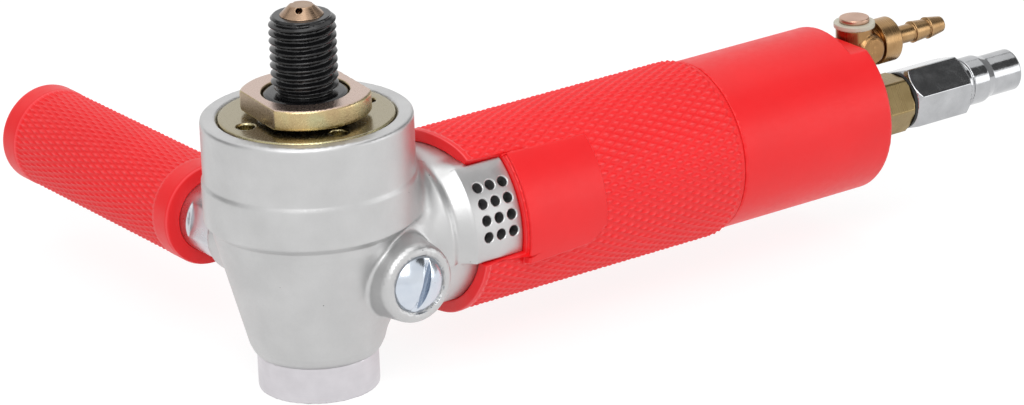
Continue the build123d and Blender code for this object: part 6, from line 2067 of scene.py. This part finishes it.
@dataclass
class Studio:
    """Floor, lamps, white surroundings and the camera at the photograph's angle, with places in metres."""

    day: float = 0.52
    floor_z: float = CAD_BOX[0][2]
    floor_size: float = 8.0
    floor_pale: str = "#F2F2F2"
    floor_shadow: str = "#8C8C8C"
    floor_glow: float = 0.84
    # Dark cards: name, side, place and how bright reflections see them
    flags: tuple[tuple[str, float, Spot, float], ...] = (
        ("plug_flag", 0.75, (0.84, -0.53, 0.82), 0.1),
        ("left_flag", 1.0, (-0.75, 0.75, 0.3), 0.32),
        ("right_flag", 1.0, (1.15, 0.1, 0.3), 0.32),
    )
    # Lamps: name, side, power in watts and place, and the spot they are aimed at
    lamps: tuple[tuple[str, float, float, Spot], ...] = (
        ("key", 0.9, 9.0, (-0.65, -0.8, 1.0)),
        ("top", 0.8, 2.5, (0.1, 0.0, 1.25)),
        ("fill", 0.7, 2.0, (1.1, -0.9, 0.12)),
    )
    aim: Spot = (0.08, 0.03, -0.03)
    # Camera: its angles in degrees, and the frame's origin seen from it, across, up and away in millimetres
    azimuth: float = 35.2454
    elevation: float = 20.6343
    roll: float = -1.9659
    origin: Spot = (-48.7450, 26.6100, 1178.954)
    # Focal length and width of the photograph, in its pixels, and the width of the camera's sensor
    focal: float = 5000.0
    photo_width: float = 1024.0
    sensor: float = 36.0
    clip: Pair = (0.05, 50.0)

    def seen(self, tree: Tree) -> Socket:
        """1 where the camera, a reflection or clear glass looks, 0 where light falls."""
        path = add_node(tree, "ShaderNodeLightPath", {}).outputs
        rays = {0: path["Is Camera Ray"], 1: path["Is Glossy Ray"]}
        both = add_node(tree, "ShaderNodeMath", rays, operation="ADD").outputs["Value"]
        rays = {0: both, 1: path["Is Transmission Ray"]}
        return add_node(tree, "ShaderNodeMath", rays, operation="MAXIMUM").outputs["Value"]

    def world(self) -> None:
        """White surroundings that light the object at a plain level."""
        scene = bpy.context.scene
        scene.world = bpy.data.worlds.new("studio")
        scene.world.use_nodes = True
        tree = scene.world.node_tree
        tree.nodes.clear()
        light = add_node(tree, "ShaderNodeBackground", {"Color": WHITE, "Strength": self.day})
        shown = add_node(tree, "ShaderNodeBackground", {"Color": WHITE, "Strength": 1.0})
        parts = {0: self.seen(tree), 1: light.outputs[0], 2: shown.outputs[0]}
        mixed = add_node(tree, "ShaderNodeMixShader", parts)
        add_node(tree, "ShaderNodeOutputWorld", {"Surface": mixed.outputs[0]})

    def card(self, name: str, size: float, place: Spot) -> tuple[Piece, Tree]:
        """A square card that isn't part of the object.

        Args:
            name: Its name.
            size: Length of a side.
            place: Its middle.

        Returns:
            The card, and the empty node tree of its material.
        """
        half = size / 2
        corners = [(-half, -half, 0.0), (half, -half, 0.0), (half, half, 0.0), (-half, half, 0.0)]
        mesh = bpy.data.meshes.new(name)
        mesh.from_pydata(corners, [], [(0, 1, 2, 3)])
        card = bpy.data.objects.new(name, mesh)
        card.location = place
        bpy.context.scene.collection.objects.link(card)
        made = bpy.data.materials.new(name + "_paint")
        made.use_nodes = True
        made.node_tree.nodes.clear()
        mesh.materials.append(made)
        return card, made.node_tree

    def floor(self) -> None:
        """A pale floor that shows white and keeps the object's shadow."""
        _, tree = self.card("floor", self.floor_size, (0.0, 0.0, self.floor_z))
        pale = add_node(tree, "ShaderNodeBsdfDiffuse", {"Color": linear(self.floor_pale)})
        shadow = add_node(tree, "ShaderNodeBsdfDiffuse", {"Color": linear(self.floor_shadow)})
        glow = add_node(tree, "ShaderNodeEmission", {"Color": WHITE, "Strength": self.floor_glow})
        shown = add_node(tree, "ShaderNodeAddShader", {0: shadow.outputs[0], 1: glow.outputs[0]})
        parts = {0: self.seen(tree), 1: pale.outputs[0], 2: shown.outputs[0]}
        mixed = add_node(tree, "ShaderNodeMixShader", parts)
        add_node(tree, "ShaderNodeOutputMaterial", {"Surface": mixed.outputs[0]})

    def flag(self, name: str, size: float, place: Spot, level: float) -> None:
        """A dark card that only reflections see, for the darker bands on bright metal.

        Args:
            name: Its name.
            size: Length of a side.
            place: Its middle.
            level: How bright reflections see it.
        """
        card, tree = self.card(name, size, place)
        card.rotation_euler = (-card.location).to_track_quat("Z", "Y").to_euler()
        glow = add_node(tree, "ShaderNodeEmission", {"Color": WHITE, "Strength": level})
        add_node(tree, "ShaderNodeOutputMaterial", {"Surface": glow.outputs[0]})
        for ray in ("camera", "diffuse", "shadow", "transmission"):
            setattr(card, f"visible_{ray}", False)

    def lamp(self, name: str, size: float, power: float, place: Spot) -> None:
        """A soft square lamp aimed at the object.

        Args:
            name: Its name.
            size: Length of a side.
            power: Its power, in watts.
            place: Its middle.
        """
        data = bpy.data.lights.new(name, "AREA")
        data.size, data.energy = size, power
        lamp = bpy.data.objects.new(name, data)
        lamp.location = place
        lamp.rotation_euler = (Vector(self.aim) - lamp.location).to_track_quat("-Z", "Y").to_euler()
        bpy.context.scene.collection.objects.link(lamp)

    def camera(self) -> None:
        """The camera at the photograph's angle."""
        azimuth, elevation, roll = (math.radians(a) for a in (self.azimuth, self.elevation, self.roll))
        right = np.array([math.cos(azimuth), -math.sin(azimuth), 0.0])
        away = np.array([math.sin(azimuth), math.cos(azimuth), 0.0])
        top = np.array([0.0, 0.0, 1.0])
        forward = math.cos(elevation) * away - math.sin(elevation) * top
        up = math.sin(elevation) * away + math.cos(elevation) * top
        across = math.cos(roll) * right + math.sin(roll) * up
        upward = -math.sin(roll) * right + math.cos(roll) * up
        place = -(self.origin[0] * across + self.origin[1] * upward + self.origin[2] * forward) * MM
        data = bpy.data.cameras.new("camera")
        data.lens, data.sensor_width = self.focal * self.sensor / self.photo_width, self.sensor
        data.clip_start, data.clip_end = self.clip
        camera = bpy.data.objects.new("camera", data)
        rows = [(across[i], upward[i], -forward[i], place[i]) for i in range(3)]
        camera.matrix_world = Matrix([*rows, (0.0, 0.0, 0.0, 1.0)])
        bpy.context.scene.collection.objects.link(camera)
        bpy.context.scene.camera = camera

    def build(self) -> None:
        """Set up everything round the object."""
        bpy.context.scene.view_settings.view_transform = "Standard"
        self.camera()
        self.world()
        self.floor()
        for flag in self.flags:
            self.flag(*flag)
        for lamp in self.lamps:
            self.lamp(*lamp)
        LOG.info("studio is set up")


def main() -> None:
    """Build and dress every piece."""
    logging.basicConfig(level=logging.INFO, format="%(name)s: %(message)s")
    Studio().build()
    dress_nodes()
    head, spindle, side = GearHead(), WaterSpindle(), SideHandle()
    valve, inlet = WaterValve(), AirInlet()
    for make in (
        *(head.casting, head.pad, head.cover, head.cap, head.plug),
        *(spindle.spindle, spindle.flange, spindle.nozzle),
        *(MainHandle().build, Throttle().build),
        *(side.stud, side.grip),
        *(valve.body, valve.push_button, valve.washers, valve.barb),
        *(inlet.bushing, inlet.quick_plug),
    ):
        make()


if __name__ == "__main__":
    main()
